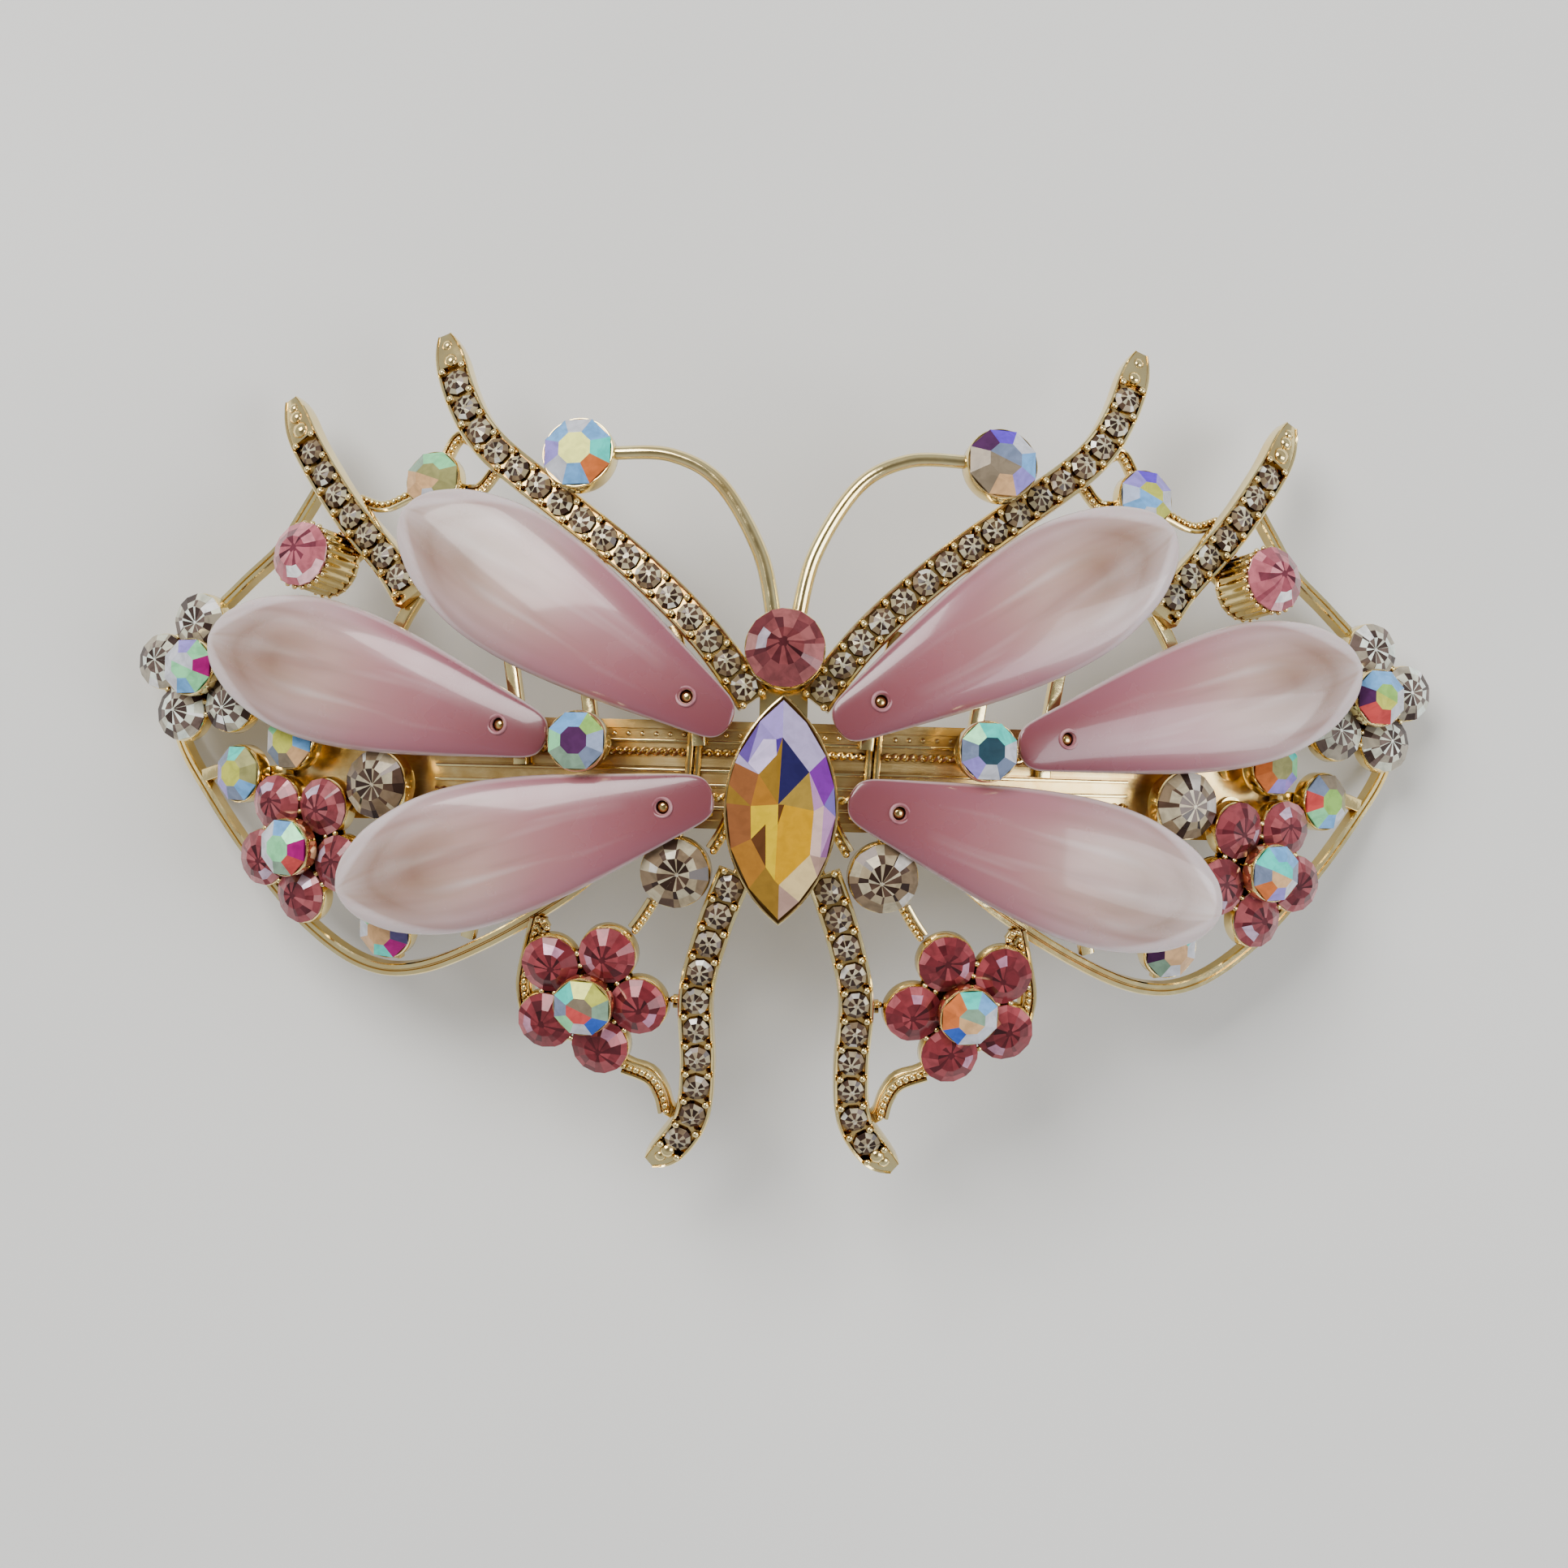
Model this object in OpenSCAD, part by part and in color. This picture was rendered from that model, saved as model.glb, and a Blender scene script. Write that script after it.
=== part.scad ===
// Butterfly hair barrette: an arched snap clip that carries a stone-set filigree butterfly.
// X runs across the wings, +Y points to the antennae and +Z points away from the hair.
// Places on the butterfly are given as [u, v, h]: u is measured along the arch, v along Y,
// and h is the height above the arched frame surface, square to it. All sizes are in mm.

/* [Arch] */
// Radius of the arch across the wings
arch_r = 80; // [79:0.5:82]
// Radius at which the wings fall away towards the antennae
fall_up_r = 100; // [95:5:120]
// Radius at which the wings fall away towards the tails
fall_low_r = 60; // [55:5:70]

/* [Clip base] */
// Width of the arched base strip
base_w = 9; // [8.6:0.1:9.4]
// Thickness of the base strip
base_t = 0.8; // [0.6:0.1:0.9]
// Half of the base strip's span across the wings
base_half = 44; // [43.5:0.5:44.5]
// Depth of the base strip's face below the frame surface
base_drop = 1.5; // [1.5:0.1:1.8]

/* [Clasp] */
// Width of the clasp arm
clasp_w = 5.6; // [5:0.1:5.6]
// Thickness of the clasp arm
clasp_t = 0.8; // [0.6:0.1:0.9]
// Radius of the clasp arm's own bow
clasp_bow_r = 300; // [280:10:340]
// Radius of the hinge pin
pin_r = 0.8; // [0.7:0.05:0.85]
// Radial clearance of the clasp arm on its pin
pin_play = 0.06; // [0.03:0.01:0.08]
// Distance of the hinge from the middle
hinge_x = 41.5; // [41:0.5:42]
// Depth of the hinge below the top of the arch
hinge_drop = 18.4; // [18:0.2:19]

/* [Tension bar] */
// Width of the tension bar
bar_w = 5.6; // [5:0.1:6]
// Thickness of the tension bar
bar_t = 0.4; // [0.3:0.1:0.5]
// Travel of the tension bar towards the base
bar_travel = 2; // [1.5:0.1:2]

/* [Petals] */
// Length of a petal
petal_l = 33.5; // [33:0.5:34]
// Greatest width of a petal
petal_w = 12; // [11.6:0.1:12.2]
// Greatest thickness of a petal
petal_t = 2.4; // [2:0.1:2.6]

/* [Stones] */
// Diameter of the small stones along the arms and tails
pave_d = 2.3; // [2.1:0.1:2.4]
// Distance between neighbouring small stones
pave_pitch = 2.45; // [2.45:0.05:2.6]
// Diameter of the flower stones
flower_d = 4.7; // [4.4:0.1:4.7]
// Diameter of the aurora stones
aurora_d = 4.8; // [4.4:0.1:4.8]
// Diameter of the stones at the ends of the antennae
antenna_d = 5.9; // [5.8:0.1:6.2]
// Diameter of the single crystal stones
crystal_d = 5.6; // [5.4:0.1:5.7]
// Diameter of the head stone
head_d = 6.4; // [6:0.1:6.6]
// Length of the pointed body stone
navette_l = 18; // [17:0.5:18.5]
// Width of the pointed body stone
navette_w = 9; // [8.6:0.1:9]

/* [Hidden] */
$fn = 48;
arc_fn = 360;

// The model's origin is under the middle of the object, on the surface that it lies on.
seat = [0, -2, 23.2];

// Metal and stone colours
gold = [0.86, 0.74, 0.5];
steel = [0.72, 0.7, 0.66];
pink = [0.78, 0.45, 0.52];
clear = [0.85, 0.85, 0.88];
aurora = [0.55, 0.75, 0.8];
violet = [0.62, 0.5, 0.8];
pearl = [0.88, 0.72, 0.76];

// Frame levels, as heights above the frame surface
skeleton_low = -1.15;
skeleton_top = -0.05;
cup_wall = 0.15;
stone_play = 0.02;

// Centre lines of the right half, as [u, v], from the body outwards
inner_arm_line = [[2.5, 6.2], [6.8, 11.8], [12.5, 17.2], [19, 22.2], [25.5, 27.2], [28.5, 31.5], [30.4, 37]];
outer_arm_line = [[32.5, 14.4], [34.7, 17.3], [39, 21.6], [42.2, 25.5], [44.4, 28.6], [45.9, 31.8]];
tail_line = [[3.6, -8], [5.3, -12.6], [6.6, -18], [6.4, -24], [6.8, -28.4], [8.6, -31.3], [10.4, -32.6]];
rim_line = [
    [12.5, -5.6], [18, -10.4], [25.4, -14.8], [32, -17.3], [37.5, -17], [43.6, -13.6], [50, -8],
    [55, -3], [59.4, 2], [60.4, 6.5], [57.5, 11.6], [52, 15.8], [47.5, 19], [44.8, 22.4], [43, 25]
];
antenna_line = [[0.9, 12.4, 0.8], [2.2, 18.2, 1.4], [5.6, 23.8, 2.2], [9.6, 25.9, 2.8], [14.1, 25.9, 3.2]];

// Centre lines of the short flat ties under the cups and arms
tie_lines = [
    [[9.4, 12.4], [8.4, 8.6], [7.4, 6], [7, 2.4]],
    [[15.8, 18.2], [17.2, 14.2], [16.8, 8], [16, 2.6]],
    [[24.4, 14], [23.4, 8.4], [22.6, 3.6], [22.4, 0.5]],
    [[32.6, 14.8], [34.2, 12.2], [35, 9.6], [34.2, 3]],
    [[37.6, 19.4], [39.4, 18.2], [41, 16.9], [43.4, 18.8], [45.6, 20]],
    [[44.6, 3], [48.4, 4.6], [52, 7.2], [55.6, 7.6], [59.2, 5.6]],
    [[45.6, -0.6], [49.2, -0.8], [53, -0.6], [56, -1.2]],
    [[39.6, -3], [42.6, -6.8], [46, -10.4]],
    [[33.6, -3], [34.6, -8], [34, -13.6], [34, -16.4]],
    [[24, -2.6], [25.4, -8], [27, -14.4]],
    [[9, -2.4], [8.8, -5], [8.4, -8]],
    [[2.8, -6], [3.2, -8], [4.2, -10.2]],
    [[20.4, -12.4], [21, -14.8], [21.6, -17.9], [21.2, -20.6]],
    [[14.2, -23.9], [12.4, -25], [10.6, -25.6], [9.6, -27], [9, -28.7], [7.9, -29.3]]
];
tie_half_w = 0.6;

// Bead-topped wires: flower to tail tip, body to crystal, crystal to flower, rim to flower,
// flower to tail
bead_lines = [
    [[12.85, -24.75], [10.6, -25.6], [9.6, -27], [9.2, -28.6]],
    [[4.1, -3.4], [4.8, -4.9], [5.6, -6.2]],
    [[10.4, -10.6], [11.2, -11.9], [12, -13]],
    [[20, -12.6], [19.6, -13.2]],
    [[8.6, -18.9], [8.25, -18.9]]
];
bead_wire_half_w = 0.45;

// Beaded links between the arms and the aurora cups
rope_lines = [
    [[38.8, 23.2], [36.4, 22.6], [33.6, 23.6], [31.4, 24.1]],
    [[27.6, 27.9], [29.2, 28.6], [30.2, 27.2], [30.6, 25.8]],
    [[25.8, 25.4], [27, 24], [28.2, 23.8], [29.6, 23.9]]
];
rope_half_w = 0.5;

// Petals: narrow end and the point that the wide end aims at, as [u, v, h]
petal_upper = [[4.2, 4, 2.8], [33.5, 22, 6.2]];
petal_middle = [[19.1, 2.6, 2.6], [50, 10.4, 5]];
petal_lower = [[5.4, -1.5, 2.8], [37.1, -10, 5.8]];
petal_pin_at = 4.2;
petal_hole_r = 0.62;
// Half widths of a petal along its length, as shares of its length and of its greatest half width
petal_outline = [
    [0, 0.18], [0.012, 0.27], [0.06, 0.37], [0.15, 0.5], [0.3, 0.71],
    [0.45, 0.89], [0.6, 1], [0.74, 0.98], [0.87, 0.78], [0.95, 0.5], [0.985, 0.27], [1, 0.06]
];
petal_edge_t = 0.5;

// Flowers: middle as [u, v, h], the angle of their first stone and their lean across the wing
flower_ring_r = 4.3;
tail_flower = [[15.6, -18.6, 0], 43, 0];
rim_flower = [[42.6, -6.8, 0], 56, 0];
crystal_flower = [[53.8, 8, 1.1], 80, -14];
flower_centre_raise = 2.25;

// Single stones as [u, v, h]
aurora_spots = [[49.8, -0.9, 0], [34, -13.6, 0], [44, 2, 0], [30.7, 24.3, 0], [16.1, 2.4, 3.4]];
crystal_spots = [[34.8, -1.5, 0], [8.5, -8, 0]];
antenna_spot = [17, 25.6, 2.4];
fluted_spot = [41.2, 17.3, 0];
fluted_h = 4.4;
fluted_r = 2.8;
flutes = 18;
fluted_stone_d = 5.4;
head_spot = [0, 10.2, 1.75];
navette_v = -2.6;
navette_h = 2.2;

// Hinge, catch and tension bar
hinge_z = -hinge_drop;
ear_gap = 2.9;
ear_t = 0.8;
ear_r = 1.7;
eye_r = 1.5;
catch_x = 38.8;
catch_half_x = 1.2;
catch_y = 1.9;
catch_axis_z = -16.4;
lever_axle_r = 0.6;
lever_play = 0.05;
lever_t = 0.6;
lever_foot_z = -19.6;
window_play = 0.3;
window_half_y = 2.5;
bar_r = 110;
bar_half = 35.5;
bar_top_z = -7.1;
stirrup_x = 34.4;
stirrup_half_x = 0.8;
base_r = arch_r - base_drop;

// ---------------------------------------------------------------- curves

function unit(v) = v / norm(v);

function bend(a, b, c, d, t) =
    0.5 * (2 * b + (c - a) * t + (2 * a - 5 * b + 4 * c - d) * t * t + (3 * b - a - 3 * c + d) * t * t * t);

// A smooth line through the given points
function smooth(p, steps = 8) = [
    for (i = [0 : len(p) - 2])
        for (k = [0 : steps - 1])
            bend(p[max(0, i - 1)], p[i], p[i + 1], p[min(len(p) - 1, i + 2)], k / steps),
    p[len(p) - 1]
];

// Distance travelled at each point of a line
function travel(p) = [
    for (i = 0, s = 0; i < len(p); s = s + norm(p[min(i + 1, len(p) - 1)] - p[i]), i = i + 1) s
];

function line_length(p) = let (s = travel(p)) s[len(s) - 1];

// The point at distance d along a line
function along(p, d) =
    let (s = travel(p), k = min(len([for (x = s) if (x <= d) 1]) - 1, len(p) - 2))
    p[k] + (p[k + 1] - p[k]) * (d - s[k]) / (s[k + 1] - s[k]);

// n + 1 evenly spaced points on the smooth line through p
function stations(p, n) = let (s = smooth(p), l = line_length(s)) [for (i = [0 : n]) along(s, i * l / n)];

// ---------------------------------------------------------------- the arched surface

function fall(v) = v * v / (2 * (v > 0 ? fall_up_r : fall_low_r));

function fall_slope(v) = v / (v > 0 ? fall_up_r : fall_low_r);

function arch_angle(u) = u / arch_r * 180 / PI;

function out_of(u, v) = let (a = arch_angle(u)) unit([sin(a), cos(a) * fall_slope(v), cos(a)]);

function across(u) = let (a = arch_angle(u)) [cos(a), 0, -sin(a)];

function spot(p) =
    let (a = arch_angle(p[0]))
    seat + [arch_r * sin(a), p[1], arch_r * (cos(a) - 1) - fall(p[1])] + p[2] * out_of(p[0], p[1]);

function turned(x, y, z, o) = [
    [x[0], y[0], z[0], o[0]], [x[1], y[1], z[1], o[1]], [x[2], y[2], z[2], o[2]], [0, 0, 0, 1]
];

// Stand children on the arch at p, spun about the surface's normal after leaning across the wing
module on_arch(p, spin = 0, lean = 0) {
    x = across(p[0]);
    z = out_of(p[0], p[1]);
    multmatrix(turned(x, cross(z, x), z, spot(p))) rotate([0, lean, 0]) rotate([0, 0, spin]) children();
}

module left_side() mirror([1, 0, 0]) children();

module both_sides() {
    children();
    left_side() children();
}

// ---------------------------------------------------------------- skins

// Join rings of points, all of one count, into one closed skin. A cap is a list of point numbers.
module skin(rings, caps) {
    n = len(rings[0]);
    last = (len(rings) - 1) * n;
    polyhedron(
        points = [for (r = rings) each r],
        faces = [
            for (c = caps) c,
            for (c = caps) [for (i = [len(c) - 1 : -1 : 0]) last + c[i]],
            for (i = [0 : len(rings) - 2]) for (j = [0 : n - 1]) each [
                [i * n + j, (i + 1) * n + (j + 1) % n, i * n + (j + 1) % n],
                [i * n + j, (i + 1) * n + j, (i + 1) * n + (j + 1) % n]
            ]
        ],
        convexity = 6
    );
}

// Rings of a section, given as [side, height] points, at each station [u, v, h] of a line.
// scale_at lists how much the section's sides are scaled at each station.
function rings_on(st, section, scale_at) = [
    for (i = [0 : len(st) - 1])
        let (
            p = spot(st[i]),
            t = unit(spot(st[min(i + 1, len(st) - 1)]) - spot(st[max(i - 1, 0)])),
            side = unit(cross(out_of(st[i][0], st[i][1]), t)),
            up = cross(t, side)
        )
        [for (q = section) p + side * q[0] * scale_at[i] + up * q[1]]
];

function flat(line, h = 0) = [for (p = line) [p[0], p[1], h]];

function level(n) = [for (i = [0 : n]) 1];

// Narrow the last part of a line of n + 1 stations down to a tip
function pointed(n, from, tip) = [
    for (i = [0 : n]) let (t = max(0, i / n - from) / (1 - from)) 1 - (1 - tip) * t * t * t
];

// A bar of rectangular section along a line
module flat_bar(line, half_w, low, high, n) {
    section = [[-half_w, low], [half_w, low], [half_w, high], [-half_w, high]];
    skin(rings_on(stations(flat(line), n), section, level(n)), [[0, 1, 2, 3]]);
}

// A round wire along a line of [u, v, h] points
module wire(line, r, n, sides = 8, taper = 1) {
    section = [for (k = [0 : sides - 1]) r * [cos(k * 360 / sides), sin(k * 360 / sides)]];
    thin = [for (i = [0 : n]) 1 + (taper - 1) * i / n];
    skin(rings_on(stations(line, n), section, thin), [[for (k = [0 : sides - 1]) k]]);
}

// An open channel that holds a row of small stones and runs out in a point
channel_half_w = 1.5;
channel_wall = 0.22;
channel_floor = 0.5;
channel_h = 1.55;
// Share of its width that a channel keeps at its tip
channel_tip = 0.42;
module channel(line, n, from) {
    o = channel_half_w;
    w = o - channel_wall;
    section = [
        [-o, 0], [o, 0], [o, channel_h], [w, channel_h],
        [w, channel_floor], [-w, channel_floor], [-w, channel_h], [-o, channel_h]
    ];
    skin(rings_on(stations(flat(line), n), section, pointed(n, from, channel_tip)),
         [[0, 1, 4, 5], [0, 5, 6, 7], [1, 2, 3, 4]]);
}

// ---------------------------------------------------------------- stones and cups

// Shares of a stone's diameter: height of its girdle's top, height of its table, table radius
girdle_share = 0.34;
table_share = 0.5;
table_r_share = 0.29;

// A round faceted stone, its point at the bottom
module stone(d) {
    low = 0.09 * d;
    rotate_extrude()
        polygon([
            [0, low], [d / 2, girdle_share * d - 0.06 * d], [d / 2, girdle_share * d],
            [table_r_share * d, table_share * d], [0, table_share * d]
        ]);
}

// The cup that holds a round stone
module cup(d) {
    difference() {
        cylinder(r = d / 2 + cup_wall, h = girdle_share * d);
        translate([0, 0, 0.08 * d]) cylinder(r = d / 2 + stone_play, h = d);
    }
}

// The post that carries a cup whose bottom is at height h
module stem(h) {
    translate([0, 0, skeleton_top + 0.1 - h]) cylinder(r = 1.3, h = h + 0.2);
}

// Small stones in a row, evenly spaced along a line, from its start to the given spare length
module pave_row(line, start, spare) {
    s = smooth(line);
    count = floor((line_length(s) - start - spare) / pave_pitch);
    for (i = [0 : count]) {
        p = along(s, start + i * pave_pitch);
        on_arch([p[0], p[1], channel_floor]) stone(pave_d);
    }
}

module flower_spots(flower) {
    on_arch(flower[0], 0, flower[2])
        for (i = [0 : 4])
            rotate([0, 0, flower[1] + i * 72]) translate([flower_ring_r, 0, 0]) children();
}

module flower_middle(flower) {
    on_arch(flower[0], 0, flower[2]) translate([0, 0, flower_centre_raise]) children();
}

// Five cups round a backing disc, with a raised cup on a stem in the middle
module flower_cups(flower) {
    bore_r = flower_d / 2 + stone_play;
    wall_r = flower_d / 2 + cup_wall;
    stem_r = 1.5;
    backing = 0.08 * flower_d;
    on_arch(flower[0], 0, flower[2]) {
        difference() {
            union() {
                cylinder(r = flower_ring_r, h = backing);
                for (i = [0 : 4])
                    rotate([0, 0, flower[1] + i * 72]) translate([flower_ring_r, 0, 0])
                        cylinder(r = wall_r, h = girdle_share * flower_d);
            }
            for (i = [0 : 4])
                rotate([0, 0, flower[1] + i * 72]) translate([flower_ring_r, 0, backing])
                    cylinder(r = bore_r, h = flower_d);
        }
        cylinder(r = stem_r, h = flower_centre_raise + 0.3);
        translate([0, 0, flower_centre_raise]) cup(aurora_d);
    }
}

// ---------------------------------------------------------------- barrette mechanism

// A strip of the arch: its top at height h, t thick, w wide, from x0 to x1
module arc_strip(h, t, x0, x1, w, r = arch_r) {
    translate([0, 0, -r]) rotate([90, 0, 0])
        linear_extrude(height = w, center = true)
            intersection() {
                difference() {
                    circle(r = r + h, $fn = arc_fn);
                    circle(r = r + h - t, $fn = arc_fn);
                }
                translate([x0, 0]) square([x1 - x0, r + 2]);
            }
}

// Stand children on the base strip's face at x, y, square to the strip
module on_base(x, y) {
    translate([0, 0, -arch_r]) rotate([0, asin(x / base_r), 0]) translate([0, y, base_r]) children();
}

module barrette_base() {
    ridge_w = 0.7;
    ridge_h = 0.3;
    end_plate = 14;
    color(gold) translate(seat) {
        difference() {
            union() {
                arc_strip(-base_drop, base_t, -base_half, base_half, base_w);
                for (y = [-base_w / 2 + ridge_w / 2, 1, base_w / 2 - ridge_w / 2])
                    translate([0, y, 0])
                        arc_strip(-base_drop + ridge_h, ridge_h + 0.2, end_plate - base_half,
                                  base_half - end_plate, ridge_w);
            }
            for (y = [-2, 2]) on_base(catch_x, y) translate([0, 0, -3]) cylinder(r = rivet_r + 0.02, h = 4);
        }
        hinge_ears();
        for (side = [-1, 1]) stirrup(side * stirrup_x);
    }
}

// Two ears folded down from the strip, with the bores of the hinge pin
module hinge_ears() {
    for (y = [-1, 1]) translate([0, y * (ear_gap + ear_t / 2), 0]) rotate([90, 0, 0])
        linear_extrude(height = ear_t, center = true)
            difference() {
                intersection() {
                    union() {
                        translate([-hinge_x, hinge_z]) circle(r = ear_r);
                        translate([-hinge_x - ear_r, hinge_z]) square([2 * ear_r, hinge_drop]);
                    }
                    translate([0, -arch_r]) circle(r = base_r - 0.2, $fn = arc_fn);
                }
                translate([-hinge_x, hinge_z]) circle(r = pin_r + 0.02);
            }
}

// A loop under the strip that the end of the tension bar slides in
module stirrup(x) {
    leg_in = 1.9;
    leg_t = 0.6;
    foot_top = -13.36;
    foot_t = 0.6;
    intersection() {
        union() {
            for (y = [-1, 1])
                translate([x - stirrup_half_x, y * (leg_in + leg_t / 2) - leg_t / 2, foot_top - foot_t])
                    cube([2 * stirrup_half_x, leg_t, 6]);
            translate([x - stirrup_half_x, -leg_in - leg_t, foot_top - foot_t])
                cube([2 * stirrup_half_x, 2 * (leg_in + leg_t), foot_t]);
        }
        translate([0, 0, -arch_r]) rotate([90, 0, 0])
            cylinder(r = base_r - 0.2, h = base_w, center = true, $fn = arc_fn);
    }
}

module hinge_pin() {
    head_r = 1.15;
    head_t = 0.35;
    reach = ear_gap + ear_t + 0.05;
    color(steel) translate(seat + [-hinge_x, 0, hinge_z]) rotate([90, 0, 0]) {
        cylinder(r = pin_r, h = 2 * reach + 0.2, center = true);
        for (y = [-1, 1]) translate([0, 0, y * (reach + head_t / 2)])
            cylinder(r = head_r, h = head_t, center = true);
    }
}

// Height of the clasp arm's top face at x
clasp_top = hinge_z + clasp_t / 2 - sqrt(pow(clasp_bow_r, 2) - pow(hinge_x, 2)) + clasp_bow_r;
module clasp_arm() {
    pad_w = 8.4;
    pad_from = 34.6;
    pad_to = 41;
    hook_x = catch_x - catch_half_x - window_play;
    color(gold) translate(seat) {
        difference() {
            union() {
                translate([0, 0, clasp_top]) arc_strip(0, clasp_t, -hinge_x, pad_to, clasp_w, clasp_bow_r);
                translate([0, 0, clasp_top]) arc_strip(0, clasp_t, pad_from, pad_to, pad_w, clasp_bow_r);
                translate([-hinge_x, 0, hinge_z]) rotate([90, 0, 0])
                    cylinder(r = eye_r, h = clasp_w, center = true);
            }
            translate([-hinge_x, 0, hinge_z]) rotate([90, 0, 0])
                cylinder(r = pin_r + pin_play, h = base_w, center = true);
            translate([hook_x, -window_half_y, hinge_z - 3])
                cube([2 * (catch_half_x + window_play), 2 * window_half_y, 6]);
        }
    }
}

module tension_bar() {
    tongue_w = 3.4;
    color(steel) translate(seat + [0, 0, bar_top_z]) {
        arc_strip(0, bar_t, -bar_half + 3.2, bar_half - 3.2, bar_w, bar_r);
        arc_strip(0, bar_t, -bar_half, bar_half, tongue_w, bar_r);
    }
}

rivet_r = 0.75;
module catch_bracket() {
    foot_z = -17.2;
    x0 = 37;
    x1 = 40.9;
    color(steel) translate(seat) difference() {
        intersection() {
            translate([x0, -3, foot_z]) cube([x1 - x0, 6, 8]);
            translate([0, 0, -arch_r]) rotate([90, 0, 0])
                cylinder(r = base_r - base_t - 0.04, h = base_w, center = true, $fn = arc_fn);
        }
        for (y = [-1, 1]) {
            translate([x0 - 1, y * catch_y, catch_axis_z]) rotate([0, 90, 0])
                cylinder(r = lever_axle_r + lever_play, h = 6);
            translate([x0 - 1, y * (catch_y - 0.1) - 0.75, foot_z - 1])
                cube([6, 1.5, catch_axis_z - foot_z + 0.85]);
        }
        for (y = [-2, 2]) on_base(catch_x, y) translate([0, 0, -3.3])
            cylinder(r = rivet_r + 0.02, h = 4);
    }
}

module catch_rivets() {
    color(gold) translate(seat) for (y = [-2, 2]) on_base(catch_x, y) {
        translate([0, 0, -3.2]) cylinder(r = rivet_r, h = 3.4);
        translate([0, 0, 0.05]) cylinder(r = 1.3, h = 0.3);
    }
}

// One sprung side of the catch: an axle, a hooked leg in the window and a finger tab outside
module catch_lever() {
    leg_x = catch_x - catch_half_x;
    hook_reach = window_half_y - 0.05;
    tab_x = 41.4;
    tab_l = 1.8;
    drop = catch_axis_z - lever_foot_z;
    color(steel) translate(seat) {
        translate([leg_x, -catch_y, catch_axis_z]) rotate([0, 90, 0])
            cylinder(r = lever_axle_r, h = tab_x + tab_l - leg_x);
        translate([leg_x, -catch_y - lever_t / 2, lever_foot_z]) cube([2 * catch_half_x, lever_t, drop]);
        translate([leg_x, -hook_reach, lever_foot_z])
            cube([2 * catch_half_x, hook_reach - catch_y, 0.7]);
        translate([tab_x, -catch_y - lever_t / 2, lever_foot_z]) cube([tab_l, lever_t, drop]);
        translate([tab_x, -4.4, lever_foot_z]) cube([tab_l, 4.4 - catch_y, 0.6]);
    }
}

module catch_lever_front() catch_lever();
module catch_lever_rear() mirror([0, 1, 0]) translate([0, -2 * seat[1], 0]) catch_lever();

// ---------------------------------------------------------------- body and antennae

module body_plate() {
    color(gold) flat_bar([[0, 9.6], [0, 3], [0, -4], [0, -9]], 2, skeleton_low + 0.1, skeleton_top, 8);
}

module head_cup() {
    color(gold) on_arch(head_spot) {
        cup(head_d);
        stem(head_spot[2]);
    }
}

module head_stone() {
    color(pink) on_arch(head_spot) stone(head_d);
}

// Outline with two points, l long and w wide: the overlap of two round discs
module almond(l, w) {
    r = (l * l + w * w) / (4 * w);
    intersection() {
        translate([r - w / 2, 0]) circle(r = r, $fn = 180);
        translate([w / 2 - r, 0]) circle(r = r, $fn = 180);
    }
}

module navette_cup() {
    rim = 0.4;
    color(gold) on_arch([0, navette_v, navette_h]) {
        difference() {
            linear_extrude(height = 1.5) almond(navette_l + 1, navette_w + rim);
            translate([0, 0, 0.4]) linear_extrude(height = 2) almond(navette_l + 0.1, navette_w + 0.06);
        }
        translate([0, 0, skeleton_top - navette_h + 0.05]) cylinder(r = 1.6, h = navette_h + 0.2);
    }
}

module navette_stone() {
    color(violet) on_arch([0, navette_v, navette_h + 0.45]) {
        linear_extrude(height = 1.2) almond(navette_l, navette_w);
        translate([0, 0, 1]) linear_extrude(height = 1) almond(navette_l * 0.85, navette_w * 0.82);
        translate([0, 0, 1]) linear_extrude(height = 1.7) almond(navette_l * 0.62, navette_w * 0.55);
    }
}

module antenna_right() {
    color(gold) {
        wire(antenna_line, 0.68, 16, 8, 0.85);
        on_arch(antenna_spot) cup(antenna_d);
    }
}
module antenna_left() left_side() antenna_right();

module antenna_stones() {
    color(aurora) both_sides() on_arch(antenna_spot) stone(antenna_d);
}

// ---------------------------------------------------------------- arms, tails and skeleton

module inner_arm_right() color(gold) channel(inner_arm_line, 26, 0.9);
module inner_arm_left() left_side() inner_arm_right();
module inner_arm_stones() color(clear) both_sides() pave_row(inner_arm_line, 1.3, 3.4);

module outer_arm_right() color(gold) channel(outer_arm_line, 14, 0.8);
module outer_arm_left() left_side() outer_arm_right();
module outer_arm_stones() color(clear) both_sides() pave_row(outer_arm_line, 2, 3.6);

module tail_right() color(gold) channel(tail_line, 20, 0.87);
module tail_left() left_side() tail_right();
module tail_stones() color(clear) both_sides() pave_row(tail_line, 1.3, 2.8);

module wing_rim_right() color(gold) flat_bar(rim_line, 0.55, skeleton_low, skeleton_top, 44);
module wing_rim_left() left_side() wing_rim_right();

module wing_ties_right() {
    color(gold) for (line = tie_lines)
        flat_bar(line, tie_half_w, skeleton_low + 0.1, skeleton_top, 5);
}
module wing_ties_left() left_side() wing_ties_right();

module bead_wires_right() {
    color(gold) for (line = bead_lines) flat_bar(line, bead_wire_half_w, skeleton_top, 0.9, 5);
}
module bead_wires_left() left_side() bead_wires_right();

module rope_links() {
    color(gold) both_sides() for (line = rope_lines)
        wire(flat(line, skeleton_top - rope_half_w), rope_half_w, 6, 6);
}

// ---------------------------------------------------------------- petals

// Height of a petal's crest at share t of its length
function petal_crest(t) = petal_edge_t + (petal_t - petal_edge_t) * pow(sin(180 * pow(t, 1.2)), 0.6);

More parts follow.
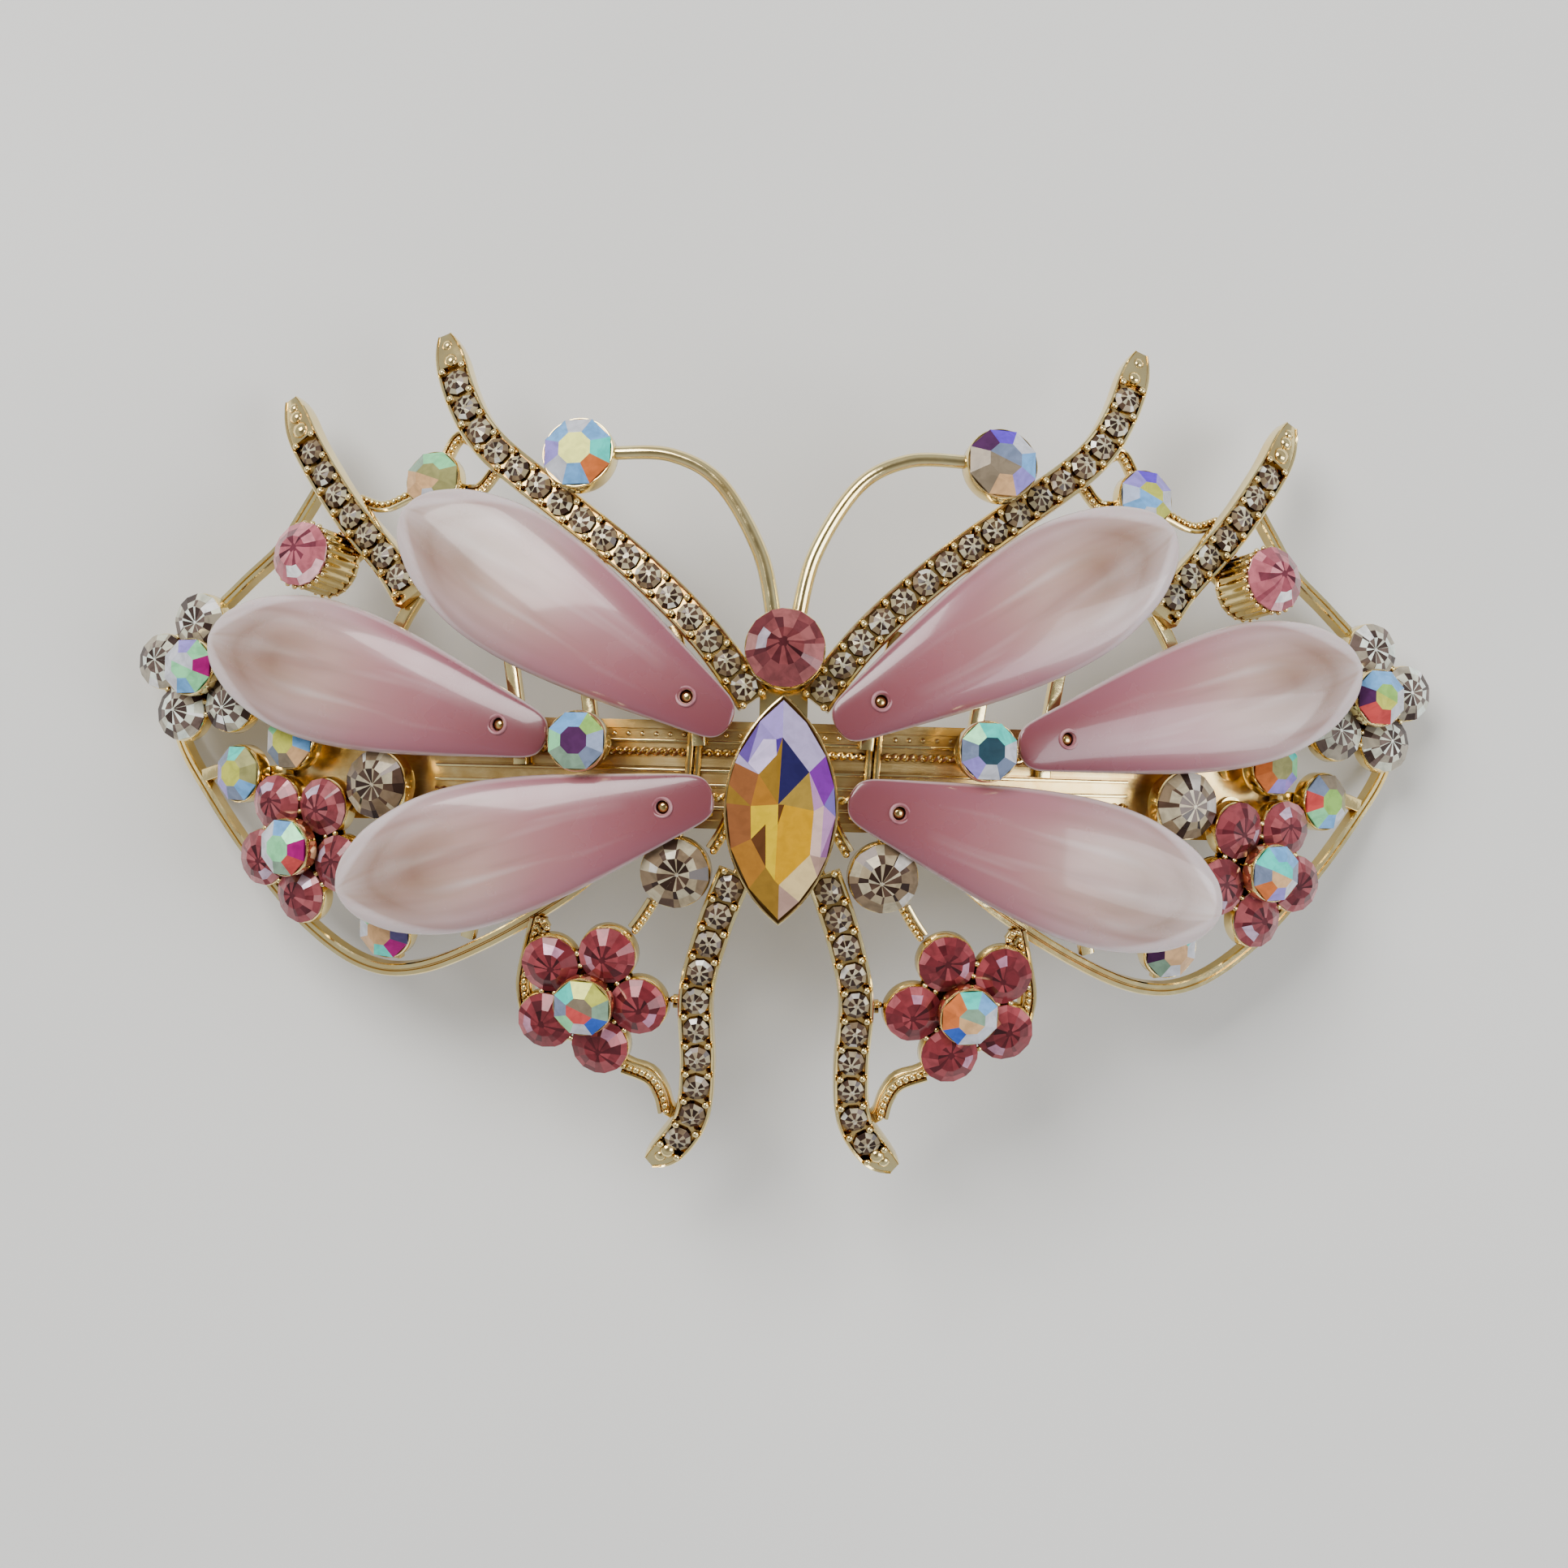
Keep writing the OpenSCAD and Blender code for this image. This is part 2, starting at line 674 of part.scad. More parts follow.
function petal_x(p) = unit(spot(p[1]) - spot(p[0]));
function petal_up(p) = let (x = petal_x(p), n = out_of((p[0][0] + p[1][0]) / 2, (p[0][1] + p[1][1]) / 2))
    unit(n - x * (n * x));

module on_petal(p) {
    x = petal_x(p);
    z = petal_up(p);
    multmatrix(turned(x, cross(z, x), z, spot(p[0]))) children();
}

// A domed, flat-backed drop with a pin hole in its narrow end
module petal(p) {
    sides = 10;
    outline = smooth(petal_outline, 2);
    rings = [
        for (q = outline)
            let (t = q[0], w = q[1] * petal_w / 2, crest = max(petal_edge_t, petal_crest(t)))
            [for (k = [0 : sides - 1]) let (a = 180 * k / (sides - 1)) [
                t * petal_l, -w * cos(a), crest * pow(sin(a), 0.6)
            ]]
    ];
    on_petal(p) difference() {
        skin(rings, [[for (k = [0 : sides - 1]) k]]);
        translate([petal_pin_at, 0, -1]) cylinder(r = petal_hole_r, h = 5);
    }
}

module petal_upper_right() color(pearl) petal(petal_upper);
module petal_upper_left() left_side() petal_upper_right();
module petal_middle_right() color(pearl) petal(petal_middle);
module petal_middle_left() left_side() petal_middle_right();
module petal_lower_right() color(pearl) petal(petal_lower);
module petal_lower_left() left_side() petal_lower_right();

// Shouldered pins that stand on the ties and run up through the petals' holes
module petal_pins() {
    shoulder_r = 1.1;
    shank_r = 0.5;
    color(gold) both_sides() for (p = [petal_upper, petal_middle, petal_lower])
        on_petal(p) translate([petal_pin_at, 0, 0]) {
            foot = p[0][2] - 0.5;
            translate([0, 0, -foot]) cylinder(r = shoulder_r, h = foot - 0.05);
            translate([0, 0, -0.5]) cylinder(r = shank_r, h = 1.8);
        }
}

// ---------------------------------------------------------------- flowers and single stones

module tail_flower_cups() color(gold) both_sides() flower_cups(tail_flower);
module tail_flower_stones() color(pink) both_sides() flower_spots(tail_flower) stone(flower_d);
module tail_flower_centres() color(aurora) both_sides() flower_middle(tail_flower) stone(aurora_d);

module rim_flower_cups() color(gold) both_sides() flower_cups(rim_flower);
module rim_flower_stones() color(pink) both_sides() flower_spots(rim_flower) stone(flower_d);
module rim_flower_centres() color(aurora) both_sides() flower_middle(rim_flower) stone(aurora_d);

module crystal_flower_cups() color(gold) both_sides() flower_cups(crystal_flower);
module crystal_flower_stones() color(clear) both_sides() flower_spots(crystal_flower) stone(flower_d);
module crystal_flower_centres() color(aurora) both_sides() flower_middle(crystal_flower) stone(aurora_d);

module aurora_cups() {
    color(gold) both_sides() for (p = aurora_spots) on_arch(p) {
        cup(aurora_d);
        if (p[2] > 0) stem(p[2]);
    }
}
module aurora_stones() color(aurora) both_sides() for (p = aurora_spots) on_arch(p) stone(aurora_d);

module crystal_cups() color(gold) both_sides() for (p = crystal_spots) on_arch(p) cup(crystal_d);
module crystal_stones() color(clear) both_sides() for (p = crystal_spots) on_arch(p) stone(crystal_d);

// Tall cups with fluted walls
module fluted_cups() {
    color(gold) both_sides() on_arch(fluted_spot) difference() {
        linear_extrude(height = fluted_h)
            polygon([for (i = [0 : 2 * flutes - 1]) let (a = i * 180 / flutes, r = fluted_r - (i % 2) * 0.25)
                r * [cos(a), sin(a)]]);
        translate([0, 0, 2.9]) cylinder(r = fluted_stone_d / 2 - 0.36, h = 2);
    }
}

module fluted_stones() {
    color(pink) both_sides() on_arch(fluted_spot) translate([0, 0, 3]) {
        cylinder(r = fluted_stone_d / 2 - 0.4, h = 1.6);
        translate([0, 0, 1.45]) rotate_extrude()
            polygon([[0, 0], [fluted_stone_d / 2, 0], [fluted_stone_d / 2, 0.3], [1.6, 1.4], [0, 1.4]]);
    }
}

barrette_base();
hinge_pin();
clasp_arm();
tension_bar();
catch_bracket();
catch_rivets();
catch_lever_front();
catch_lever_rear();
body_plate();
head_cup();
head_stone();
navette_cup();
navette_stone();
antenna_left();
antenna_right();
antenna_stones();
inner_arm_left();
inner_arm_right();
inner_arm_stones();
outer_arm_left();
outer_arm_right();
outer_arm_stones();
tail_left();
tail_right();
tail_stones();
wing_rim_left();
wing_rim_right();
wing_ties_left();
wing_ties_right();
bead_wires_left();
bead_wires_right();
rope_links();
petal_upper_left();
petal_upper_right();
petal_middle_left();
petal_middle_right();
petal_lower_left();
petal_lower_right();
petal_pins();
tail_flower_cups();
tail_flower_stones();
tail_flower_centres();
rim_flower_cups();
rim_flower_stones();
rim_flower_centres();
crystal_flower_cups();
crystal_flower_stones();
crystal_flower_centres();
aurora_cups();
aurora_stones();
crystal_cups();
crystal_stones();
fluted_cups();
fluted_stones();
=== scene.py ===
"""Looks of the butterfly hair barrette: finer stones, cups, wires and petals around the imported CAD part.

Places on the butterfly are (u, v, h) in millimetres, as in the CAD model: u runs along the arch from the
middle to the right wing tip, v towards the antennae, and h is the height square to the arched surface.
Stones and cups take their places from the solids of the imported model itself.
"""

import math
import random

import bmesh
import bpy
import numpy as np
from mathutils import Matrix, Vector

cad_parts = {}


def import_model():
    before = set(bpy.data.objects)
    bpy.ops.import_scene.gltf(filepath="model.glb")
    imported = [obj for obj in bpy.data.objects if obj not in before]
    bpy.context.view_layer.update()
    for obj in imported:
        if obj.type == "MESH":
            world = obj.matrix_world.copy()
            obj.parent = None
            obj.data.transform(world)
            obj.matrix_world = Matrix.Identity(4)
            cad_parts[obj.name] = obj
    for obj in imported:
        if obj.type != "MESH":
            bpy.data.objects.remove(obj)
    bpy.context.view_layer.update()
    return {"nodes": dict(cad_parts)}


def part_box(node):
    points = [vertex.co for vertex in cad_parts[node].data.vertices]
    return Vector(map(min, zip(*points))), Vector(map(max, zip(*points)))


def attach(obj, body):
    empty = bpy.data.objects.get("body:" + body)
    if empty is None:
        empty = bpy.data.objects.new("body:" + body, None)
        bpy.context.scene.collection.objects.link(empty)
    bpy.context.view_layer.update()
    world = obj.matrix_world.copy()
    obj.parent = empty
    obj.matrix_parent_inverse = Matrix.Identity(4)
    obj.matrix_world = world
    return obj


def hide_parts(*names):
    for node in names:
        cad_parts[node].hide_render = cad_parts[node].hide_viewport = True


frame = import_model()

MM = 0.001
SIDES = (("right", 1), ("left", -1))

# ---- the arched surface

ARCH_R = 80
FALL_UP_R = 100
FALL_LOW_R = 60
BASE_DROP = 1.5
RIDGE_H = 0.3

base_low, base_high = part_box("barrette_base")
# The top of the arch: the base strip's edge rails end RIDGE_H above its face, BASE_DROP below the surface
SEAT = Vector((0, (base_low[1] + base_high[1]) / 2, base_high[2])) / MM + Vector((0, 0, BASE_DROP - RIDGE_H))


def fall_radius(v):
    return FALL_UP_R if v > 0 else FALL_LOW_R


def out_of(u, v):
    """The arched surface's outward direction at u, v."""
    a = u / ARCH_R
    return Vector((math.sin(a), math.cos(a) * v / fall_radius(v), math.cos(a))).normalized()


def spot(p):
    """The place of (u, v, h), in millimetres."""
    a = p[0] / ARCH_R
    fall = p[1] ** 2 / (2 * fall_radius(p[1]))
    foot = SEAT + Vector((ARCH_R * math.sin(a), p[1], ARCH_R * (math.cos(a) - 1) - fall))
    return foot + p[2] * out_of(p[0], p[1])


# ---- lines on the surface

INNER_ARM = [(2.5, 6.2), (6.8, 11.8), (12.5, 17.2), (19, 22.2), (25.5, 27.2), (28.5, 31.5), (30.4, 37)]
OUTER_ARM = [(32.5, 14.4), (34.7, 17.3), (39, 21.6), (42.2, 25.5), (44.4, 28.6), (45.9, 31.8)]
TAIL = [(3.6, -8), (5.3, -12.6), (6.6, -18), (6.4, -24), (6.8, -28.4), (8.6, -31.3), (10.4, -32.6)]
RIM = [
    (12.5, -5.6), (18, -10.4), (25.4, -14.8), (32, -17.3), (37.5, -17), (43.6, -13.6), (50, -8),
    (55, -3), (59.4, 2), (60.4, 6.5), (57.5, 11.6), (52, 15.8), (47.5, 19), (44.8, 22.4), (43, 25),
]
ANTENNA = [(0.9, 12.4, 0.8), (2.2, 18.2, 1.4), (5.6, 23.8, 2.2), (9.6, 25.9, 2.8), (14.1, 25.9, 3.2)]
# The tie that the tail flower's milled wire lies on
FLOWER_WIRE = [(20.4, -12.4), (21, -14.8), (21.6, -17.9), (21.2, -20.6)]
TIES = [
    [(9.4, 12.4), (8.4, 8.6), (7.4, 6), (7, 2.4)],
    [(15.8, 18.2), (17.2, 14.2), (16.8, 8), (16, 2.6)],
    [(24.4, 14), (23.4, 8.4), (22.6, 3.6), (22.4, 0.5)],
    [(32.6, 14.8), (34.2, 12.2), (35, 9.6), (34.2, 3)],
    [(37.6, 19.4), (39.4, 18.2), (41, 16.9), (43.4, 18.8), (45.6, 20)],
    [(44.6, 3), (48.4, 4.6), (52, 7.2), (55.6, 7.6), (59.2, 5.6)],
    [(45.6, -0.6), (49.2, -0.8), (53, -0.6), (56, -1.2)],
    [(39.6, -3), (42.6, -6.8), (46, -10.4)],
    [(33.6, -3), (34.6, -8), (34, -13.6), (34, -16.4)],
    [(24, -2.6), (25.4, -8), (27, -14.4)],
    [(9, -2.4), (8.8, -5), (8.4, -8)],
    [(2.8, -6), (3.2, -8), (4.2, -10.2)],
    FLOWER_WIRE,
    [(14.2, -23.9), (12.4, -25), (10.6, -25.6), (9.6, -27), (9, -28.7), (7.9, -29.3)],
]
BEAD_WIRES = [
    [(12.85, -24.75), (10.6, -25.6), (9.6, -27), (9.2, -28.6)],
    [(4.1, -3.4), (4.8, -4.9), (5.6, -6.2)],
    [(10.4, -10.6), (11.2, -11.9), (12, -13)],
    [(20, -12.6), (19.6, -13.2)],
    [(8.6, -18.9), (8.25, -18.9)],
    FLOWER_WIRE,
]
ROPES = [
    [(38.8, 23.2), (36.4, 22.6), (33.6, 23.6), (31.4, 24.1)],
    [(27.6, 27.9), (29.2, 28.6), (30.2, 27.2), (30.6, 25.8)],
    [(25.8, 25.4), (27, 24), (28.2, 23.8), (29.6, 23.9)],
]
PETALS = {
    "upper": ((4.2, 4, 2.8), (33.5, 22, 6.2)),
    "middle": ((19.1, 2.6, 2.6), (50, 10.4, 5)),
    "lower": ((5.4, -1.5, 2.8), (37.1, -10, 5.8)),
}
# Heights of the frame's flat bands and ties
SKELETON_LOW = -1.15
SKELETON_TOP = -0.05


def vec3(p):
    return Vector((p[0], p[1], p[2] if len(p) > 2 else 0))


def smooth_line(points, steps=10):
    """A smooth line (Catmull-Rom) through the given points."""
    p = [vec3(q) for q in points]
    line = []
    for i in range(len(p) - 1):
        a, b, c, d = p[max(0, i - 1)], p[i], p[i + 1], p[min(len(p) - 1, i + 2)]
        for k in range(steps):
            t = k / steps
            line.append(0.5 * (2 * b + (c - a) * t + (2 * a - 5 * b + 4 * c - d) * t**2
                               + (3 * b - a - 3 * c + d) * t**3))
    return line + [p[-1]]


def line_length(line):
    return sum((b - a).length for a, b in zip(line, line[1:]))


def along(line, distance):
    """The point at a distance along a line."""
    for a, b in zip(line, line[1:]):
        step = (b - a).length
        if distance <= step:
            return a.lerp(b, distance / step)
        distance -= step
    return line[-1].copy()


def stations(points, count, sign=1):
    """count + 1 evenly spaced (u, v, h) points on the smooth line; sign -1 is the left wing."""
    line = smooth_line(points)
    length = line_length(line)
    spaced = [along(line, i * length / count) for i in range(count + 1)]
    return [Vector((sign * p.x, p.y, p.z)) for p in spaced]


def frames_on(line):
    """(place, side, up) at each station of a line."""
    places = [spot(p) for p in line]
    result = []
    for i, p in enumerate(line):
        ahead = (places[min(i + 1, len(line) - 1)] - places[max(i - 1, 0)]).normalized()
        side = out_of(p.x, p.y).cross(ahead).normalized()
        result.append((places[i], side, ahead.cross(side)))
    return result


# ---- shapes


class Shape:
    """Points in millimetres, faces, and one number for each face, gathered from many solids."""

    def __init__(self):
        self.points = []
        self.faces = []
        self.values = []

    def add(self, points, faces, place=None, values=None):
        start = len(self.points)
        self.points += [place @ Vector(p) if place else Vector(p) for p in points]
        self.faces += [tuple(start + i for i in f) for f in faces]
        self.values += values or [0.5] * len(faces)


def section_box(half_w, low, high, corner, steps=3):
    """A rectangle with rounded corners, as (side, height) points."""
    points = []
    for cx, cy, start in ((half_w, high, 0), (-half_w, high, 90), (-half_w, low, 180), (half_w, low, 270)):
        for k in range(steps + 1):
            a = math.radians(start + 90 * k / steps)
            x = cx - math.copysign(corner, cx) + corner * math.cos(a)
            y = cy - (corner if cy == high else -corner) + corner * math.sin(a)
            points.append((x, y))
    return points


def section_round(r, sides=12):
    turns = [2 * math.pi * k / sides for k in range(sides)]
    return [(r * math.cos(a), r * math.sin(a)) for a in turns]


def bands(rings, n):
    """The four-cornered faces between successive rings of n points."""
    return [
        (i * n + j, i * n + (j + 1) % n, (i + 1) * n + (j + 1) % n, (i + 1) * n + j)
        for i in range(rings - 1) for j in range(n)
    ]


def end_caps(rings, n):
    return [tuple(range(n - 1, -1, -1)), tuple((rings - 1) * n + j for j in range(n))]


def sweep(shape, frames, section, widths=None):
    """Runs a closed section along frames and caps both ends."""
    points = []
    for i, (place, side, up) in enumerate(frames):
        w = widths[i] if widths else 1
        points += [place + side * (q[0] * w) + up * q[1] for q in section]
    shape.add(points, bands(len(frames), len(section)) + end_caps(len(frames), len(section)))


def lathe(shape, profile, place, segments=48, radius_at=None, closed=False):
    """Turns a profile of (radius, height) points about Z, then places it. A closed profile makes a ring."""
    points = []
    for r, z in profile:
        for k in range(segments):
            a = 2 * math.pi * k / segments
            rr = r * (radius_at(k) if radius_at else 1)
            points.append((rr * math.cos(a), rr * math.sin(a), z))
    faces = bands(len(profile), segments)
    last = (len(profile) - 1) * segments
    if closed:
        faces += [(last + j, last + (j + 1) % segments, (j + 1) % segments, j) for j in range(segments)]
    else:
        faces += end_caps(len(profile), segments)
    shape.add(points, faces, place)


def bead_form(detail):
    """Points and faces of a ball of radius 1."""
    bm = bmesh.new()
    bmesh.ops.create_icosphere(bm, subdivisions=detail, radius=1)
    bm.verts.index_update()
    form = [v.co.copy() for v in bm.verts], [tuple(v.index for v in f.verts) for f in bm.faces]
    bm.free()
    return form


BEAD = bead_form(2)


def bead(shape, place, r, up=None, flat=1):
    """A bead, flattened along up."""
    m = Matrix.Translation(place)
    if up is not None:
        m = m @ Vector((0, 0, 1)).rotation_difference(up).to_matrix().to_4x4()
    shape.add(BEAD[0], BEAD[1], m @ Matrix.Diagonal((r, r, r * flat, 1)))


def twist(shape, frames, r, strand_r, turn, low):
    """Two strands twisted about each other along frames, their middle at height low."""
    length = 0
    rows = ([], [])
    for i, (place, side, up) in enumerate(frames):
        if i:
            length += (place - frames[i - 1][0]).length
        for s in (0, 1):
            a = 2 * math.pi * length / turn + math.pi * s
            centre = place + up * low + (side * math.cos(a) + up * math.sin(a)) * r
            rows[s].append((centre, side, up))
    for row in rows:
        sweep(shape, row, section_round(strand_r, 8))


# ---- the CAD model's own solids


def solids_of(node):
    """The points of each separate solid of a CAD node, in millimetres."""
    bm = bmesh.new()
    bm.from_mesh(frame["nodes"][node].data)
    bmesh.ops.remove_doubles(bm, verts=bm.verts, dist=1e-6)
    seen = set()
    solids = []
    for start in bm.verts:
        if start in seen:
            continue
        seen.add(start)
        stack, members = [start], []
        while stack:
            v = stack.pop()
            members.append(v.co / MM)
            for e in v.link_edges:
                other = e.other_vert(v)
                if other not in seen:
                    seen.add(other)
                    stack.append(other)
        solids.append(np.array(members))
    bm.free()
    return sorted(solids, key=lambda s: (round(s[:, 0].mean(), 2), round(s[:, 1].mean(), 2)))


class Setting:
    """A round stone's place: its axis, radius, and the heights of its girdle and table."""

    def __init__(self, cloud):
        ring = np.linalg.svd(cloud - cloud.mean(axis=0), full_matrices=False)[2]
        axis = Vector(ring[2])
        self.axis = axis if axis.z > 0 else -axis
        middle = Vector(cloud.mean(axis=0))
        rise = [(Vector(p) - middle).dot(self.axis) for p in cloud]
        spread = [((Vector(p) - middle) - self.axis * z).length for p, z in zip(cloud, rise)]
        self.r = max(spread)
        self.low = middle + self.axis * min(rise)
        self.table = max(rise) - min(rise)
        self.girdle = max(z for z, s in zip(rise, spread) if s > 0.98 * self.r) - min(rise)
        east = Vector((1, 0, 0))
        x = (east - self.axis * east.dot(self.axis)).normalized()
        y = self.axis.cross(x)
        self.place = Matrix((x, y, self.axis)).transposed().to_4x4()
        self.place.translation = self.low

    def at(self, height, turn=0):
        return self.place @ Matrix.Translation((0, 0, height)) @ Matrix.Rotation(turn, 4, "Z")


def settings_of(node):
    return [Setting(cloud) for cloud in solids_of(node)]


# ---- materials


def linear(colour):
    """sRGB 0 to 1 to the renderer's linear colour."""
    return tuple(c / 12.92 if c <= 0.04045 else ((c + 0.055) / 1.055) ** 2.4 for c in colour) + (1,)


class Nodes:
    """A short way to write a material's nodes."""

    def __init__(self, name):
        self.material = bpy.data.materials.new(name)
        self.material.use_nodes = True
        self.tree = self.material.node_tree
        self.tree.nodes.clear()
        self.surface = self.new("ShaderNodeBsdfPrincipled")
        out = self.new("ShaderNodeOutputMaterial")
        self.link(self.surface.outputs["BSDF"], out.inputs["Surface"])

    def new(self, kind, **settings):
        node = self.tree.nodes.new(kind)
        for key, value in settings.items():
            if key in node.inputs:
                node.inputs[key].default_value = value
            else:
                setattr(node, key, value)
        return node

    def link(self, a, b):
        self.tree.links.new(a, b)

    def set(self, **settings):
        """Sets the surface's inputs, each to a value or to another node's output."""
        for key, value in settings.items():
            socket = self.surface.inputs[key.replace("_", " ")]
            if isinstance(value, bpy.types.NodeSocket):
                self.link(value, socket)
            else:
                socket.default_value = value

    def noise(self, scale, detail=4, rough=0.5, distortion=0):
        """Noise with this many waves to the metre, or with its own number along X, Y and Z."""
        mapping = self.new("ShaderNodeMapping", Scale=scale if isinstance(scale, tuple) else (scale,) * 3)
        self.link(self.new("ShaderNodeTexCoord").outputs["Object"], mapping.inputs["Vector"])
        node = self.new("ShaderNodeTexNoise", Scale=1, Detail=detail, Roughness=rough, Distortion=distortion)
        self.link(mapping.outputs["Vector"], node.inputs["Vector"])
        return node.outputs["Fac"]

    def ramp(self, source, stops, stepped=False):
        node = self.new("ShaderNodeValToRGB")
        node.color_ramp.interpolation = "CONSTANT" if stepped else "LINEAR"
        elements = node.color_ramp.elements
        while len(elements) < len(stops):
            elements.new(0.5)
        for band, (at, _) in zip(elements, stops):
            band.position = at
        for band, (_, colour) in zip(elements, stops):
            band.color = linear(colour) if isinstance(colour, tuple) else (colour, colour, colour, 1)
        self.link(source, node.inputs["Fac"])
        return node.outputs["Color"]

    def mix(self, a, b, share, how="MIX"):
        node = self.new("ShaderNodeMix", data_type="RGBA", blend_type=how)
        for socket, value in ((node.inputs[6], a), (node.inputs[7], b), (node.inputs[0], share)):
            if isinstance(value, bpy.types.NodeSocket):
                self.link(value, socket)
            elif isinstance(value, tuple):
                socket.default_value = linear(value)
            else:
                socket.default_value = value
        return node.outputs[2]

    def times(self, a, b):
        return self.mix(a, b, 1.0, "MULTIPLY")

    def attribute(self, name):
        return self.new("ShaderNodeAttribute", attribute_name=name).outputs["Fac"]

    def flow(self, first, second, scale):
        """Noise that runs with two of the mesh's own attributes."""
        place = self.new("ShaderNodeCombineXYZ")
        for socket, name in zip(place.inputs, (first, second)):
            self.link(self.attribute(name), socket)
        mapping = self.new("ShaderNodeMapping", Scale=(*scale, 1))
        self.link(place.outputs["Vector"], mapping.inputs["Vector"])
        shifted = self.new("ShaderNodeVectorMath", operation="ADD")
        self.link(mapping.outputs["Vector"], shifted.inputs[0])
        self.link(self.new("ShaderNodeObjectInfo").outputs["Location"], shifted.inputs[1])
        node = self.new("ShaderNodeTexNoise", Scale=1, Detail=1.6, Distortion=0.4)
        self.link(shifted.outputs["Vector"], node.inputs["Vector"])
        return node.outputs["Fac"]

    def bump(self, height, strength):
        node = self.new("ShaderNodeBump", Strength=strength, Distance=0.1 * MM)
        self.link(height, node.inputs["Height"])
        self.link(node.outputs["Normal"], self.surface.inputs["Normal"])

    def creases(self, reach):
        """Ambient occlusion: 1 in the open, less in gaps up to reach millimetres wide; the gold materials
        paint shade with it.
        """
        return self.new("ShaderNodeAmbientOcclusion", samples=4, Distance=reach * MM).outputs["AO"]


WHITE = (1.0, 1.0, 1.0)
BLACK = (0.0, 0.0, 0.0)


def gold_plate():
    """Pale champagne plate, polished, with painted brown shade darkening its narrow gaps."""
    n = Nodes("gold_plate")
    tone = n.ramp(n.noise(260), [(0.3, (0.96, 0.85, 0.58)), (0.7, (1.0, 0.94, 0.71))])
    # Painted shade: the ambient occlusion darkens the colour to brown in narrow gaps and crevices
    gap_shade = n.ramp(n.creases(1.2), [(0.1, (0.5, 0.36, 0.2)), (0.5, (0.86, 0.78, 0.64)), (0.85, WHITE)])
    polish = n.ramp(n.noise(900), [(0.3, 0.08), (0.75, 0.2)])
    n.set(Base_Color=n.times(tone, gap_shade), Roughness=polish, Metallic=1.0)
    n.bump(n.noise(1500, 3), 0.12)
    return n.material


def brushed_gold():
    """The base strip: browner plate, rolled with long soft bands, with painted shade darkening its narrow
    gaps.
    """
    n = Nodes("brushed_gold")
    brush = n.noise((140, 4200, 4200), 3, 0.6)
    cloud = n.ramp(n.noise(420, 3), [(0.35, (0.9, 0.84, 0.72)), (0.65, WHITE)])
    tone = n.ramp(brush, [(0.3, (0.92, 0.8, 0.55)), (0.8, (0.97, 0.87, 0.63))])
    # Painted shade: the ambient occlusion darkens the colour in narrow gaps
    gap_shade = n.ramp(n.creases(1.5), [(0.1, (0.72, 0.58, 0.4)), (0.6, WHITE)])
    polish = n.ramp(brush, [(0.3, 0.2), (0.8, 0.28)])
    n.set(Base_Color=n.times(n.times(tone, cloud), gap_shade), Roughness=polish, Metallic=0.9)
    n.bump(brush, 0.03)
    return n.material


def spring_steel():
    """Satin steel, brushed along the clasp, with faint rubbed patches."""
    n = Nodes("spring_steel")
    brush = n.noise((120, 5200, 5200), 3, 0.6)
    tone = n.ramp(brush, [(0.3, (0.6, 0.57, 0.52)), (0.75, (0.8, 0.77, 0.71))])
    rubbed = n.ramp(n.noise(90, 3), [(0.35, (0.82, 0.8, 0.76)), (0.65, WHITE)])
    n.set(Base_Color=n.times(tone, rubbed), Roughness=n.ramp(brush, [(0.3, 0.24), (0.75, 0.4)]), Metallic=1.0)
    n.bump(brush, 0.15)
    return n.material


def cut_glass(name, colours, metallic=0.12, coat=0.35, cloudy=0.84):
    """Foil-backed glass: each facet shows one of the colours, clouded a little inside the stone; the colours
    are painted reflections and glints over the glass's tint.
    """
    n = Nodes(name)
    count = len(colours)
    facets = n.ramp(n.attribute("facet"), [(i / count, c) for i, c in enumerate(colours)], stepped=True)
    cloud = n.ramp(n.noise(900, 3, 0.55, 0.8), [(0.35, (cloudy,) * 3), (0.6, WHITE)])
    n.set(Base_Color=n.times(facets, cloud), Metallic=metallic, Roughness=0.15, IOR=1.45,
          Specular_IOR_Level=0.25, Coat_Weight=coat, Coat_Roughness=0.04, Coat_IOR=1.5)
    return n.material


